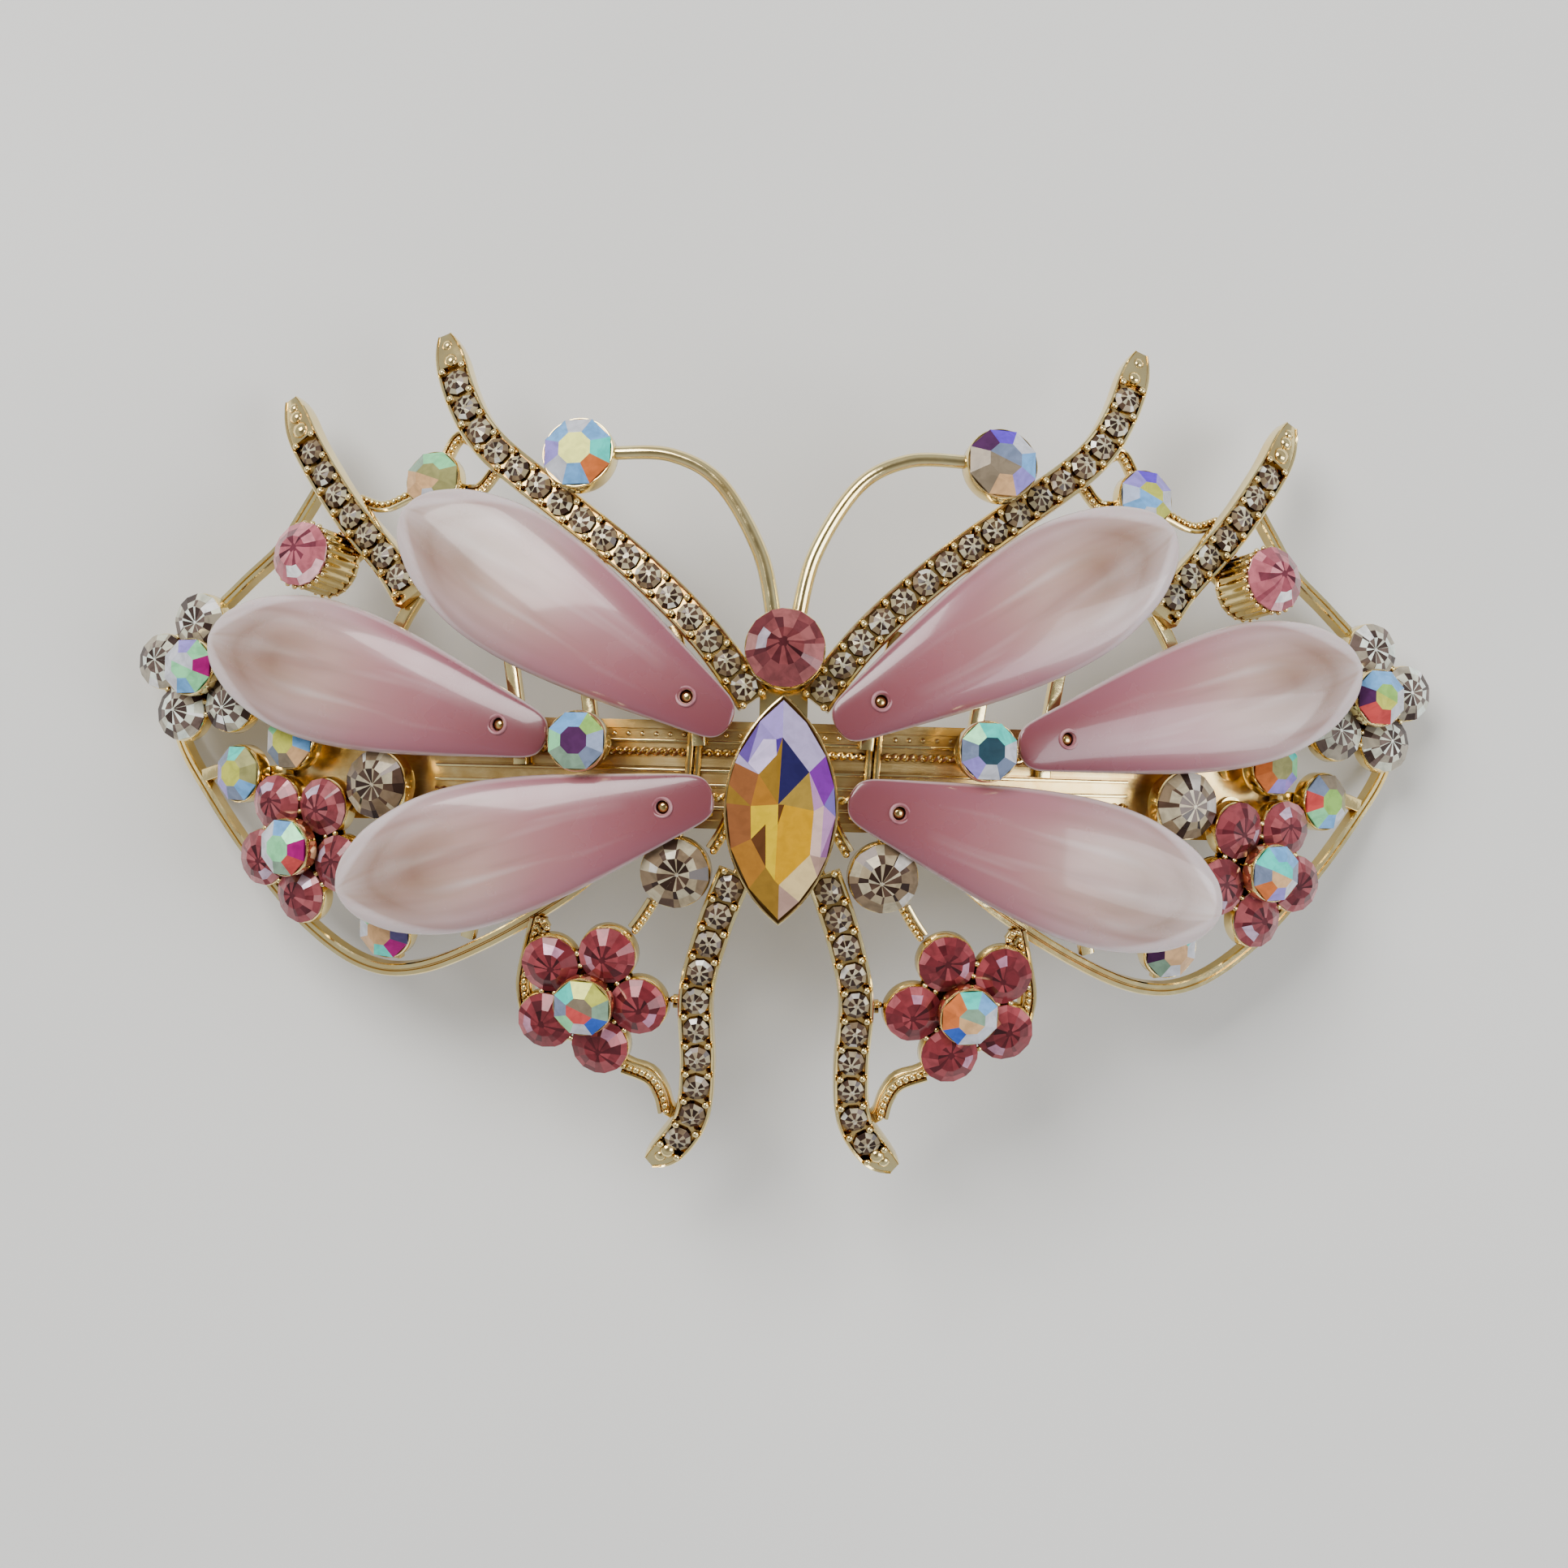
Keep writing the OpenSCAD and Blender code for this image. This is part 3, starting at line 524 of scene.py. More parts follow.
def petal_resin():
    """Milky resin, rose at the narrow end and pearly at the wide end; pale silky streaks, partly the resin's
    veins and partly a painted sheen, darker streaks of painted shadow, a painted tan shade in the middle of
    the wide end and a rim painted bright.
    """
    n = Nodes("petal_resin")
    share = n.attribute("along")
    edge = n.attribute("edge")
    # Rose to pearly along the petal; the darker tan stops from 0.88 on are painted shade in the middle of the
    # wide end
    middle = n.ramp(share, [
        (0.0, (0.46, 0.24, 0.27)), (0.15, (0.51, 0.28, 0.31)), (0.3, (0.59, 0.36, 0.39)),
        (0.45, (0.65, 0.45, 0.46)), (0.6, (0.71, 0.57, 0.54)), (0.75, (0.72, 0.6, 0.55)),
        (0.88, (0.59, 0.44, 0.35)), (1.0, (0.66, 0.55, 0.49)),
    ])
    blush = n.ramp(share, [
        (0.0, (0.45, 0.22, 0.26)), (0.3, (0.56, 0.33, 0.38)), (0.5, (0.63, 0.42, 0.46)),
        (0.72, (0.74, 0.63, 0.64)), (1.0, (0.72, 0.64, 0.6)),
    ])
    rosy = n.mix(middle, blush, n.ramp(edge, [(0.35, 0.0), (0.85, 0.85)]))
    # Pale silky streaks: partly the resin's milky veins, partly a painted sheen along the petal
    vein_sheen = n.ramp(n.flow("along", "side", (1.7, 2.2)), [(0.5, 0.0), (0.68, 0.5)])
    # Painted shadow: darker streaks along the petal
    shadow = n.ramp(n.flow("along", "side", (2.2, 3.4)), [(0.5, 0.0), (0.7, 0.4)])
    fade = n.ramp(share, [(0.2, 0.0), (0.55, 1.0)])
    vein_sheened = n.mix(rosy, (0.84, 0.79, 0.79), n.mix(BLACK, vein_sheen, fade))
    shadow_streaked = n.mix(vein_sheened, (0.56, 0.4, 0.38), n.mix(BLACK, shadow, fade))
    # Painted shade: a tan patch in the middle of the wide end, away from the rim, spread by noise
    tan = n.mix(n.ramp(share, [(0.64, 0.0), (0.86, 0.95), (0.98, 0.7)]), BLACK,
                n.ramp(edge, [(0.72, 0.0), (0.98, 1.0)]))
    shade_cloud = n.ramp(n.flow("along", "edge", (1.6, 2.2)), [(0.35, 0.45), (0.58, 1.0)])
    patch = n.mix(shadow_streaked, (0.5, 0.36, 0.27), n.mix(BLACK, tan, shade_cloud))
    # A paler rim at the very edge: the clear resin there, painted lighter as a bright line of light
    rim = n.ramp(edge, [(0.93, 0.0), (1.0, 0.6)])
    polish = n.ramp(n.noise(300), [(0.3, 0.2), (0.7, 0.3)])
    n.set(Base_Color=n.mix(patch, (0.85, 0.8, 0.81), rim), Roughness=polish)
    n.set(Subsurface_Weight=0.15, Subsurface_Scale=0.8 * MM, IOR=1.48, Coat_Weight=0.5, Coat_Roughness=0.06)
    return n.material


def clear_resin():
    """The glassy ring round each pin hole."""
    n = Nodes("clear_resin")
    tone = n.ramp(n.noise(700, 3), [(0.35, (0.56, 0.32, 0.36)), (0.7, (0.72, 0.53, 0.55))])
    n.set(Base_Color=tone, Roughness=0.32, IOR=1.4, Coat_Weight=0.1, Coat_Roughness=0.1)
    return n.material


def pale_floor():
    n = Nodes("pale_floor")
    tone = n.ramp(n.noise(9, 3), [(0.3, (0.86, 0.86, 0.85)), (0.7, (0.9, 0.9, 0.89))])
    n.set(Base_Color=tone, Roughness=0.75)
    return n.material


def tones(*colours):
    """Colours given as 0 to 255."""
    return [tuple(c / 255 for c in colour) for colour in colours]


def tinted(colours, tint):
    """The colours with their red, green and blue multiplied by the tint's."""
    return [tuple(min(1, c * t) for c, t in zip(colour, tint)) for colour in colours]


# Facet colours of each kind of glass, dark to light; the coated stones' are named by letter. The PINK and
# CLEAR colours are painted reflections over the glass's tint, their last a painted glint; the coating's are
# its painted iridescent sheen
PINK = tones((70, 24, 34), (98, 36, 48), (128, 52, 64), (156, 70, 82), (184, 94, 106), (210, 132, 144),
             (228, 190, 232))
CLEAR = tones((58, 40, 34), (96, 74, 64), (152, 132, 110), (194, 180, 154), (216, 208, 186), (234, 230, 218),
              (250, 250, 255))
COATING = {
    "t": (70, 225, 208), "g": (140, 228, 165), "e": (138, 170, 145), "y": (200, 202, 88),
    "o": (158, 156, 100), "l": (152, 200, 100), "b": (118, 178, 236), "B": (52, 98, 205),
    "v": (152, 138, 222), "V": (92, 48, 215), "p": (82, 42, 86), "m": (172, 24, 122),
    "r": (208, 78, 76), "O": (214, 116, 60), "a": (220, 174, 124), "w": (208, 210, 220),
    "s": (122, 136, 165), "n": (134, 120, 100), "d": (28, 62, 76), "k": (92, 84, 128),
}
BODY = {
    "L": (174, 160, 200), "V": (86, 58, 142), "W": (154, 138, 176), "N": (38, 34, 82), "O": (144, 108, 34),
    "T": (162, 132, 56), "G": (206, 152, 12), "Y": (220, 185, 14), "B": (142, 86, 46), "D": (92, 56, 30),
    "P": (226, 198, 140), "K": (174, 140, 126), "M": (144, 92, 142), "U": (116, 32, 150), "I": (70, 42, 136),
    "A": (168, 112, 36),
}

gold = gold_plate()
brushed = brushed_gold()
steel = spring_steel()
wood_rose_glass = cut_glass("wood_rose_glass", tinted(PINK, (0.84, 0.94, 0.83)))
deep_pink_glass = cut_glass("deep_pink_glass", tinted(PINK, (0.86, 0.73, 0.71)))
pink_glass = cut_glass("pink_glass", tinted(PINK, (0.93, 0.97, 0.91)))
pale_pink_glass = cut_glass("pale_pink_glass", tinted(PINK, (1.22, 1.5, 1.42)))
smoky_glass = cut_glass("smoky_glass", tinted(CLEAR, (0.86, 0.84, 0.79)))
clear_glass = cut_glass("clear_glass", tinted(CLEAR, (0.93, 0.93, 0.87)))
icy_glass = cut_glass("icy_glass", tinted(CLEAR, (1.12, 1.22, 1.3)))
aurora_glass = cut_glass("aurora_glass", tones(*COATING.values()), 0.1, 0.15, 0.88)
violet_glass = cut_glass("violet_glass", tones(*BODY.values()), 0.1, 0.2, 0.93)
resin = petal_resin()
hole_resin = clear_resin()

# ---- pieces


def placed(name, data):
    """A new object in the scene."""
    obj = bpy.data.objects.new(name, data)
    bpy.context.scene.collection.objects.link(obj)
    return obj


def declare(obj, replaces):
    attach(obj, "clip")
    if replaces:
        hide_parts(*replaces)


def piece(name, shape, material, replaces=(), sharp=35, flat=False):
    """One finished object from a shape in millimetres."""
    mesh = bpy.data.meshes.new(name)
    mesh.from_pydata([p * MM for p in shape.points], [], shape.faces)
    mesh.attributes.new("facet", "FLOAT", "FACE").data.foreach_set("value", shape.values)
    if not flat:
        mesh.shade_smooth()
        mesh.set_sharp_from_angle(angle=math.radians(sharp))
    mesh.materials.append(material)
    mesh.validate()
    mesh.update()
    declare(placed(name, mesh), replaces)


def gilt(name, shape, *replaces):
    piece(name, shape, gold, replaces)


def on_both_wings(node, make, build):
    """Two gold pieces, such as tail_right_setting for tail_right; build fills a shape for the wing's sign."""
    for side_name, sign in SIDES:
        shape = Shape()
        build(shape, sign)
        gilt(f"{node}_{side_name}_{make}", shape, f"{node}_{side_name}")


# ---- stones

TABLE_R = 0.48


def shade(index, count):
    """The facet value that shows colour number index of a list of count."""
    return (index + 0.5) / count


def gem(shape, setting, angles, radii, value_of, turn=0, off=0, ragged=None):
    """A cut stone: a flat table, a sloping crown split at the given angles and radii, and a pointed back.

    off moves the point where the table's wedges meet, as a share of the stone's radius, and ragged is the
    random source that makes the rings inside the rim uneven.
    """
    r, rise = setting.r, setting.table - setting.girdle
    count = len(angles)
    points = [(off * r, 0, rise)]
    for ring in radii:
        sway = 0 if not ragged or ring in (TABLE_R, 1) else 0.3 if ring < TABLE_R else 0.07
        for a in angles:
            q = ring * (1 + ragged.uniform(-sway, sway)) if sway else ring
            z = rise * min(1, (1 - q) / (1 - TABLE_R))
            shift = off * r * max(0, 1 - q / TABLE_R)
            points.append((q * r * math.cos(a) + shift, q * r * math.sin(a), z))
    points += [(r * math.cos(a), r * math.sin(a), -0.06 * r) for a in angles]
    points.append((0, 0, 0.1 - setting.girdle))
    faces, values = [], []
    for k in range(count):
        nxt = (k + 1) % count
        faces.append((0, 1 + k, 1 + nxt))
        values.append(value_of(0, k))
        for i in range(len(radii)):
            a, b = 1 + i * count, 1 + (i + 1) * count
            faces.append((a + k, b + k, b + nxt, a + nxt))
            values.append(value_of(min(i + 1, len(radii) - 1), k))
        last = 1 + len(radii) * count
        faces.append((last + k, len(points) - 1, last + nxt))
        values.append(value_of(len(radii) - 1, k))
    shape.add(points, faces, setting.at(setting.girdle, turn), values)


def wedges(rng, pairs, wide):
    """Angles of 2 * pairs wedges, wide and narrow by turns, a little uneven."""
    angles = []
    for k in range(pairs):
        start = 2 * math.pi * (k + rng.uniform(-0.2, 0.2)) / pairs
        angles += [start, start + 2 * math.pi * wide / pairs]
    return angles


def star_gem(shape, setting, rng, count, pairs, radii, wide=0.66):
    """Dark wedges with thin light lines on the table, and a ring of light and dark blocks round it: painted
    reflections, with a light centre and painted glints on a block or two.
    """
    dark, deep, mid, base, light, bright, glint = range(count)
    glints = {rng.randrange(2 * pairs) for _ in range(2)}

    def value_of(ring, k):
        if ring == 0:
            return shade(rng.choice((base, light, bright)), count)
        if ring == 1:
            tone = rng.choice((dark, dark, deep, deep)) if k % 2 == 0 else rng.choice((base, light))
        elif ring == 2:
            tone = rng.choice((mid, base, light)) if k % 2 == 0 else rng.choice((dark, deep, deep))
        else:
            tone = rng.choice((dark, deep, mid)) if k % 4 < 2 else rng.choice((mid, base, light))
        if ring > 1 and k in glints and rng.random() < 0.6:
            tone = glint
        return shade(tone, count)

    angles = wedges(rng, pairs, wide)
    turn = rng.uniform(0, 6)
    gem(shape, setting, angles, radii, value_of, turn, rng.uniform(0.03, 0.22), rng)


def rose_gem(shape, setting, rng, count):
    """A rose stone: slices of near tones and a dark star in the table, painted reflections over the pink, and
    one painted violet-white glint.
    """
    dark, deep, mid, base, light, bright, glint = range(count)
    glint_at = rng.randrange(16)

    def value_of(ring, k):
        if ring == 0:
            return shade(deep, count)
        if ring == 1:
            tone = rng.choice((dark, deep, deep, mid)) if k % 2 else rng.choice((mid, base, base, light))
        elif ring == 2:
            tone = rng.choice((base, base, mid, light)) if k % 2 == 0 else rng.choice((deep, mid, base))
        else:
            tone = rng.choice((mid, base, base, light, bright))
        if ring == 2 and k in (glint_at, (glint_at + 1) % 16):
            tone = glint
        return shade(tone, count)

    gem(shape, setting, wedges(rng, 8, 0.6), (0.12, TABLE_R, 0.78, 1), value_of, rng.uniform(0, 6), 0.15, rng)


def coated_gem(shape, setting, plan):
    """A coated stone. Its plan names the table's colours, then those of the eight facets round it; they paint
    the coating's iridescent sheen and reflections, one flat colour to a facet.
    """
    letters = list(COATING)
    table, crown = plan.split("/")
    eighth = math.pi / 4

    def value_of(ring, k):
        letter = table[0 if k < 4 else -1] if ring < 2 else crown[k]
        return shade(letters.index(letter), len(letters))

    gem(shape, setting, [eighth * (k - 0.5) for k in range(8)], (0.2, TABLE_R, 1), value_of)


# Plans of the coated stones, left to right
COATED = {
    "antenna_stones": "y/tbwbvwbO sn/bwVpnnav",
    "aurora_stones": "y/ootsvvsb y/bvtgwsna a/ksygwatm oa/oggeaawo p/slbbgees"
                     " d/wttgsvws yb/wvVvsbwy a/wtlppewa o/gtwbOOvv l/onnsrgbw",
    "tail_flower_centres": "nr/eyytsgwB ea/wbtOOBww",
    "rim_flower_centres": "g/mgbwwwer ta/sbbtsOvw",
    "crystal_flower_centres": "wg/mgvwwwbg ly/wbbbprrw",
}


def stones(node, material, cut_one, seed, over=0.1):
    """One piece for all the stones of a node; over is how far their girdles reach over their cups' walls."""
    shape = Shape()
    rng = random.Random(seed)
    for i, setting in enumerate(settings_of(node)):
        setting.r += over
        cut_one(shape, setting, rng, i)
    piece(node + "_cut", shape, material, [node], flat=True)


def cut_rose(shape, setting, rng, i):
    rose_gem(shape, setting, rng, len(PINK))


def cut_clear(shape, setting, rng, i):
    star_gem(shape, setting, rng, len(CLEAR), 9, (0.06, TABLE_R, 0.74, 1), 0.7)


def cut_small(shape, setting, rng, i):
    star_gem(shape, setting, rng, len(CLEAR), 6, (0.2, 0.66, 1), 0.62)


PINK_NODES = {
    "head_stone": wood_rose_glass, "tail_flower_stones": deep_pink_glass,
    "rim_flower_stones": pink_glass, "fluted_stones": pale_pink_glass,
}
CLEAR_NODES = {"crystal_flower_stones": icy_glass, "crystal_stones": smoky_glass}
ROW_NODES = {"inner_arm_stones": clear_glass, "outer_arm_stones": clear_glass, "tail_stones": smoky_glass}
for seed, (node, glass) in enumerate(PINK_NODES.items(), 10):
    stones(node, glass, cut_rose, seed)
for seed, (node, glass) in enumerate(CLEAR_NODES.items(), 20):
    stones(node, glass, cut_clear, seed)
for seed, (node, glass) in enumerate(ROW_NODES.items(), 30):
    stones(node, glass, cut_small, seed, 0)
for node, plans in COATED.items():
    stones(node, aurora_glass, lambda sh, st, rng, i: coated_gem(sh, st, plans.split()[i]), 0)

# ---- the pointed body stone


def almond(length, width, count):
    """count points round the outline of two overlapping discs, from the upper tip clockwise."""
    r = (length**2 + width**2) / (4 * width)
    reach = math.asin(length / 2 / r)
    points = []
    for side in (1, -1):
        for k in range(count // 2):
            a = side * (reach - 2 * reach * k / (count // 2))
            x = side * (r * math.cos(a) - (r - width / 2))
            points.append((x, r * math.sin(a)))
    return points


EDGE_HEIGHT = 0.36
# Corners of the body stone as shares of its half width, half length and height; edge corners give only the
# length's share, with "<" for the left edge and ">" for the right. The facets name their colour first.
CORNERS = {
    "top": (0, 1, EDGE_HEIGHT), "foot": (0, -1, EDGE_HEIGHT), "k1": (0, 0.66, 0.82), "k2": (-0.05, 0.05, 1),
    "k4": (0, -0.68, 0.8), "r1": (0.5, 0.35, 0.8), "r3": (0.6, 0, 0.78), "r4": (0.55, -0.4, 0.76),
    "l1": (-0.35, 0.64, 0.6), "l2": (-0.42, 0.32, 0.8), "l3": (-0.1, 0.5, 0.88), "l4": (-0.12, 0.64, 0.8),
    "l5": (-0.55, 0.03, 0.8), "l6": (-0.53, -0.27, 0.78), "l7": (-0.27, -0.13, 0.92),
    "l8": (-0.25, -0.52, 0.84), "l9": (-0.08, -0.64, 0.82), "s1": (-0.05, -0.14, 0.97),
    "s2": (0.06, 0.05, 0.98), "m1": (0.78, 0.05, 0.6), "m2": (0.74, -0.42, 0.55), "l0": (-0.62, 0.42, 0.62),
}
EDGE_CORNERS = (0.8, 0.5, 0.42, 0.22, 0.05, -0.05, -0.36, -0.42, -0.6, -0.72, -0.83)
FACETS = [
    "V top <0.8 l1 l4 k1", "W l1 l0 l2 l3 l4", "I l4 l3 k1", "V <0.8 <0.5 l0 l1", "L <0.5 <0.42 l2 l0",
    "O l3 l2 k2 k1", "B <0.42 <0.22 l5 l2", "O <0.22 <0.05 l5", "A l2 l5 k2", "B <0.05 <-0.36 l6 l5",
    "Y l5 l6 l7 k2", "D l7 l6 l8", "Y k2 l7 l8 l9 s1", "A l6 <-0.36 <-0.72 l8", "O l8 <-0.72 foot k4 l9",
    "D k2 s1 s2", "L top k1 r1 >0.5 >0.8", "N k1 k2 r1", "T r1 k2 s2 r3", "U >0.5 r1 m1 >0.22", "M r1 r3 m1",
    "I >0.22 m1 >-0.05", "G s2 s1 l9 k4 r4 r3", "K m1 r3 r4 m2", "M >-0.05 m1 m2 >-0.42",
    "P r4 k4 >-0.83 >-0.6", "K m2 r4 >-0.6 >-0.42", "K k4 foot >-0.83",
]


def navette():
    """The pointed stone: a keel off its middle line, and facets from violet at the top to amber below."""
    low, high = [Vector(c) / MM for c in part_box("navette_stone")]
    half_l, half_w, rise = (high.y - low.y) / 2, (high.x - low.x) / 2, high.z - low.z
    disc_r = (half_l**2 + half_w**2) / (2 * half_w)

    def domed(z):
        return rise * (0.4 + 0.6 * (z - EDGE_HEIGHT))

    names = list(CORNERS)
    points = [Vector((x * half_w, y * half_l, domed(z))) for x, y, z in CORNERS.values()]
    for mark, side in (("<", -1), (">", 1)):
        for y in EDGE_CORNERS:
            names.append(f"{mark}{y}")
            x = math.sqrt(disc_r**2 - (y * half_l) ** 2) - disc_r + half_w
            points.append(Vector((side * x, y * half_l, domed(EDGE_HEIGHT))))
    letters = list(BODY)
    shape = Shape()
    faces, values = [], []
    for facet in FACETS:
        letter, *corners = facet.split()
        corners = [names.index(c) for c in corners]
        around = sum((points[a].cross(points[b]).z for a, b in zip(corners, corners[1:] + corners[:1])), 0)
        faces.append(tuple(corners if around > 0 else reversed(corners)))
        values.append(shade(letters.index(letter), len(letters)))
    rim = [names.index(n) for n in ["top", *(f"<{y}" for y in EDGE_CORNERS), "foot",
                                    *(f">{y}" for y in reversed(EDGE_CORNERS))]]
    start = len(points)
    points += [Vector((points[i].x, points[i].y, 0.1)) for i in rim]
    for k, i in enumerate(rim):
        nxt = (k + 1) % len(rim)
        faces.append((i, start + k, start + nxt, rim[nxt]))
        values.append(shade(letters.index("K"), len(letters)))
    faces.append(tuple(start + k for k in reversed(range(len(rim)))))
    values.append(shade(letters.index("K"), len(letters)))
    centre = Vector(((low.x + high.x) / 2, (low.y + high.y) / 2, low.z))
    shape.add(points, faces, Matrix.Translation(centre), values)
    piece("navette_stone_cut", shape, violet_glass, ["navette_stone"], flat=True)


navette()

# ---- cups

CUP_WALL = 0.15


def cup(shape, setting, floor=0.0, segments=48):
    """A bezel cup: rounded foot, upright wall and a thin lip pressed against the stone's girdle."""
    r, top = setting.r, setting.girdle
    wall = r + CUP_WALL
    lathe(shape, [
        (0.05, floor), (wall - 0.18, floor), (wall - 0.06, floor + 0.05), (wall, floor + 0.2),
        (wall, top - 0.4), (wall - 0.03, top - 0.26), (r + 0.06, top - 0.16), (r + 0.01, top - 0.16),
        (r - 0.02, top - 0.26), (0.05, top - 0.28),
    ], setting.at(0), segments)


FLOWER_RAISE = 2.25


def flower_cups(name):
    """Cups on a backing disc, the centre cup on a stem, and drops of solder between the petals."""
    shape = Shape()
    ring = settings_of(name + "_stones")
    for setting in ring:
        cup(shape, setting, floor=-0.4)
    for middle in settings_of(name + "_centres"):
        cup(shape, middle, floor=-0.4)
        down = -FLOWER_RAISE - 0.4
        lathe(shape, [(0.05, down), (3.9, down), (4.1, down + 0.15), (4.1, down + 0.35), (0.05, down + 0.4)],
              middle.at(0), 48)
        lathe(shape, [(1.7, down + 0.3), (1.5, down + 0.9), (1.45, -0.4)], middle.at(0), 32)
        near = sorted(ring, key=lambda s: (s.low - middle.low).length)[:5]
        for s in near:
            for t in near:
                gap = (s.low - t.low).length
                if s is not t and gap < 2 * s.r + 0.8 and s.low.to_tuple() < t.low.to_tuple():
                    join = (s.low + t.low) / 2 + s.axis * (s.girdle - 0.1)
                    outward = join - middle.low
                    outward = (outward - s.axis * outward.dot(s.axis)).normalized()
                    for shift in (-0.55, 0.55):
                        bead(shape, join + outward * shift, 0.26, s.axis, 0.8)
    gilt(name + "_settings", shape, name + "_cups")


for flower in ("tail_flower", "rim_flower", "crystal_flower"):
    flower_cups(flower)


def single_cups(name, stone_node, cup_node, post=0, raised=lambda setting: True):
    """Cups, and under the raised ones a post that is post mm long."""
    shape = Shape()
    for setting in settings_of(stone_node):
        cup(shape, setting, floor=-0.45)
        if post and raised(setting):
            lathe(shape, [(1.7, -post), (1.4, 0.4 - post), (1.3, -0.3)], setting.at(0), 24)
    gilt(name, shape, cup_node)


single_cups("crystal_settings", "crystal_stones", "crystal_cups")
single_cups("head_setting", "head_stone", "head_cup", 2.3)
single_cups("aurora_settings", "aurora_stones", "aurora_cups", 3.9, lambda setting: abs(setting.low.x) < 20)


def fluted_settings():
    """Tall gallery cups: upright ribs between a foot ring and a beaded top ring."""
    shape = Shape()
    ribs, fine, r = 22, 176, 2.8
    down = -3.0
    top = down + 4.4

    def fluted(k):
        return 1 - 0.07 * (0.5 + 0.5 * math.cos(2 * math.pi * k * ribs / fine))

    for setting in settings_of("fluted_stones"):
        place = setting.at(0)
        lathe(shape, [(0.05, down), (r, down), (r, down + 0.35), (r - 0.06, down + 0.4)], place, 88)
        lathe(shape, [(r - 0.3, down + 0.38), (r, down + 0.45), (r, top - 0.3), (r - 0.25, top - 0.05),
                      (r - 0.5, top)], place, fine, fluted)
        for k in range(ribs):
            a = 2 * math.pi * (k + 0.5) / ribs
            for z, size in ((top - 0.2, 0.26), (down + 0.25, 0.2)):
                bead(shape, place @ Vector((r * math.cos(a), r * math.sin(a), z)), size)
    gilt("fluted_settings", shape, "fluted_cups")


fluted_settings()


def navette_setting():
    """A pointed tray that follows the stone's outline, on a stem."""
    low, high = [Vector(c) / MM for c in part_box("navette_cup")]
    stone_low, stone_high = [Vector(c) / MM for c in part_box("navette_stone")]
    centre = Vector((0, (stone_low.y + stone_high.y) / 2, 0))
    length, width = high.y - low.y, high.x - low.x
    z = stone_low.z
    levels = [
        (0.86, z - 0.42), (0.97, z - 0.3), (1.0, z), (1.0, z + 0.9), (0.985, z + 1.0), (0.96, z + 1.02),
        (0.945, z + 0.95), (0.94, z + 0.2),
    ]
    count = 96
    outline = almond(length, width, count)
    points = [(x * s, y * (1 - (1 - s) * width / length), level) for s, level in levels for x, y in outline]
    # The outline runs clockwise, so each face is turned round
    faces = [(a, d, c, b) for a, b, c, d in bands(len(levels), count)]
    faces += [cap[::-1] for cap in end_caps(len(levels), count)]
    shape = Shape()
    shape.add(points, faces, Matrix.Translation(centre))
    stem = Matrix.Translation(Vector((0, centre.y, low.z)))
    lathe(shape, [(1.9, 0), (1.65, 0.3), (1.6, z - low.z - 0.2)], stem, 32)
    gilt("navette_setting", shape, "navette_cup")


navette_setting()

# ---- channels, rims and wires

CHANNEL_W = 1.5
CHANNEL_H = 1.55
CHANNEL_FLOOR = 0.95
CHANNEL_TIP = 0.42
# The channel is closed from this far beyond its last stone
TIP_FROM = 1.45


def channel_section():
    w, h, f, t = CHANNEL_W, CHANNEL_H, CHANNEL_FLOOR, 0.32
    return [
        (-w + 0.2, 0), (w - 0.2, 0), (w - 0.04, 0.12), (w, 0.5), (w, h - 0.3), (w - 0.05, h - 0.08),
        (w - t / 2, h), (w - t, h - 0.12), (w - t - 0.02, f), (-w + t + 0.02, f), (-w + t, h - 0.12),
        (-w + t / 2, h), (-w + 0.05, h - 0.08), (-w, h - 0.3), (-w, 0.5), (-w + 0.04, 0.12),
    ]


def pointed(count, start, tip):
    """Widths of count + 1 stations that run out in a point."""
    widths = []
    for i in range(count + 1):
        t = max(0, i / count - start) / (1 - start)
        widths.append(1 - (1 - tip) * t * t * t)
    return widths


def channel(name, line, count, start, stone_node, tip_beads):
    """A polished channel with pairs of bead prongs at every joint between its stones."""
    stones_at = [s.low for s in settings_of(stone_node)]
    widths = pointed(count, start, CHANNEL_TIP)

    def build(shape, sign):
        frames = frames_on(stations(line, count, sign))
        sweep(shape, frames, channel_section(), widths)
        own = [p for p in stones_at if p.x * sign > 0]
        own.sort(key=lambda p: min(range(len(frames)), key=lambda i: (frames[i][0] - p).length))
        ends = [own[0] * 2 - own[1]] + own + [own[-1] * 2 - own[-2]]
        for a, b in zip(ends, ends[1:]):
            middle = (a + b) / 2
            place, side, up = min(frames, key=lambda f: (f[0] - middle).length)
            flat = middle - place
            middle = place + (flat - up * flat.dot(up) - side * flat.dot(side))
            for s in (-1, 1):
                bead(shape, middle + side * (s * 0.93) + up * (CHANNEL_H - 0.02), 0.31, up, 0.85)
        nearest = min(range(len(frames)), key=lambda i: (frames[i][0] - own[-1]).length)
        first = next(i for i in range(nearest, len(frames)) if (frames[i][0] - own[-1]).length > TIP_FROM)
        plug = section_box(CHANNEL_W - 0.1, 0.1, CHANNEL_H - 0.12, 0.3)
        sweep(shape, frames[first:], plug, widths[first:])
        for at, size in tip_beads:
            place, side, up = frames[int(at * (len(frames) - 1))]
            bead(shape, place + up * (CHANNEL_H - 0.25), size, up, 0.75)

    on_both_wings(name, "setting", build)


channel("inner_arm", INNER_ARM, 90, 0.9, "inner_arm_stones", [(0.955, 0.62), (0.985, 0.5)])
channel("outer_arm", OUTER_ARM, 50, 0.8, "outer_arm_stones", [(0.86, 0.8), (0.92, 0.66), (0.97, 0.5)])
channel("tail", TAIL, 70, 0.87, "tail_stones", [(0.93, 0.7), (0.97, 0.55)])


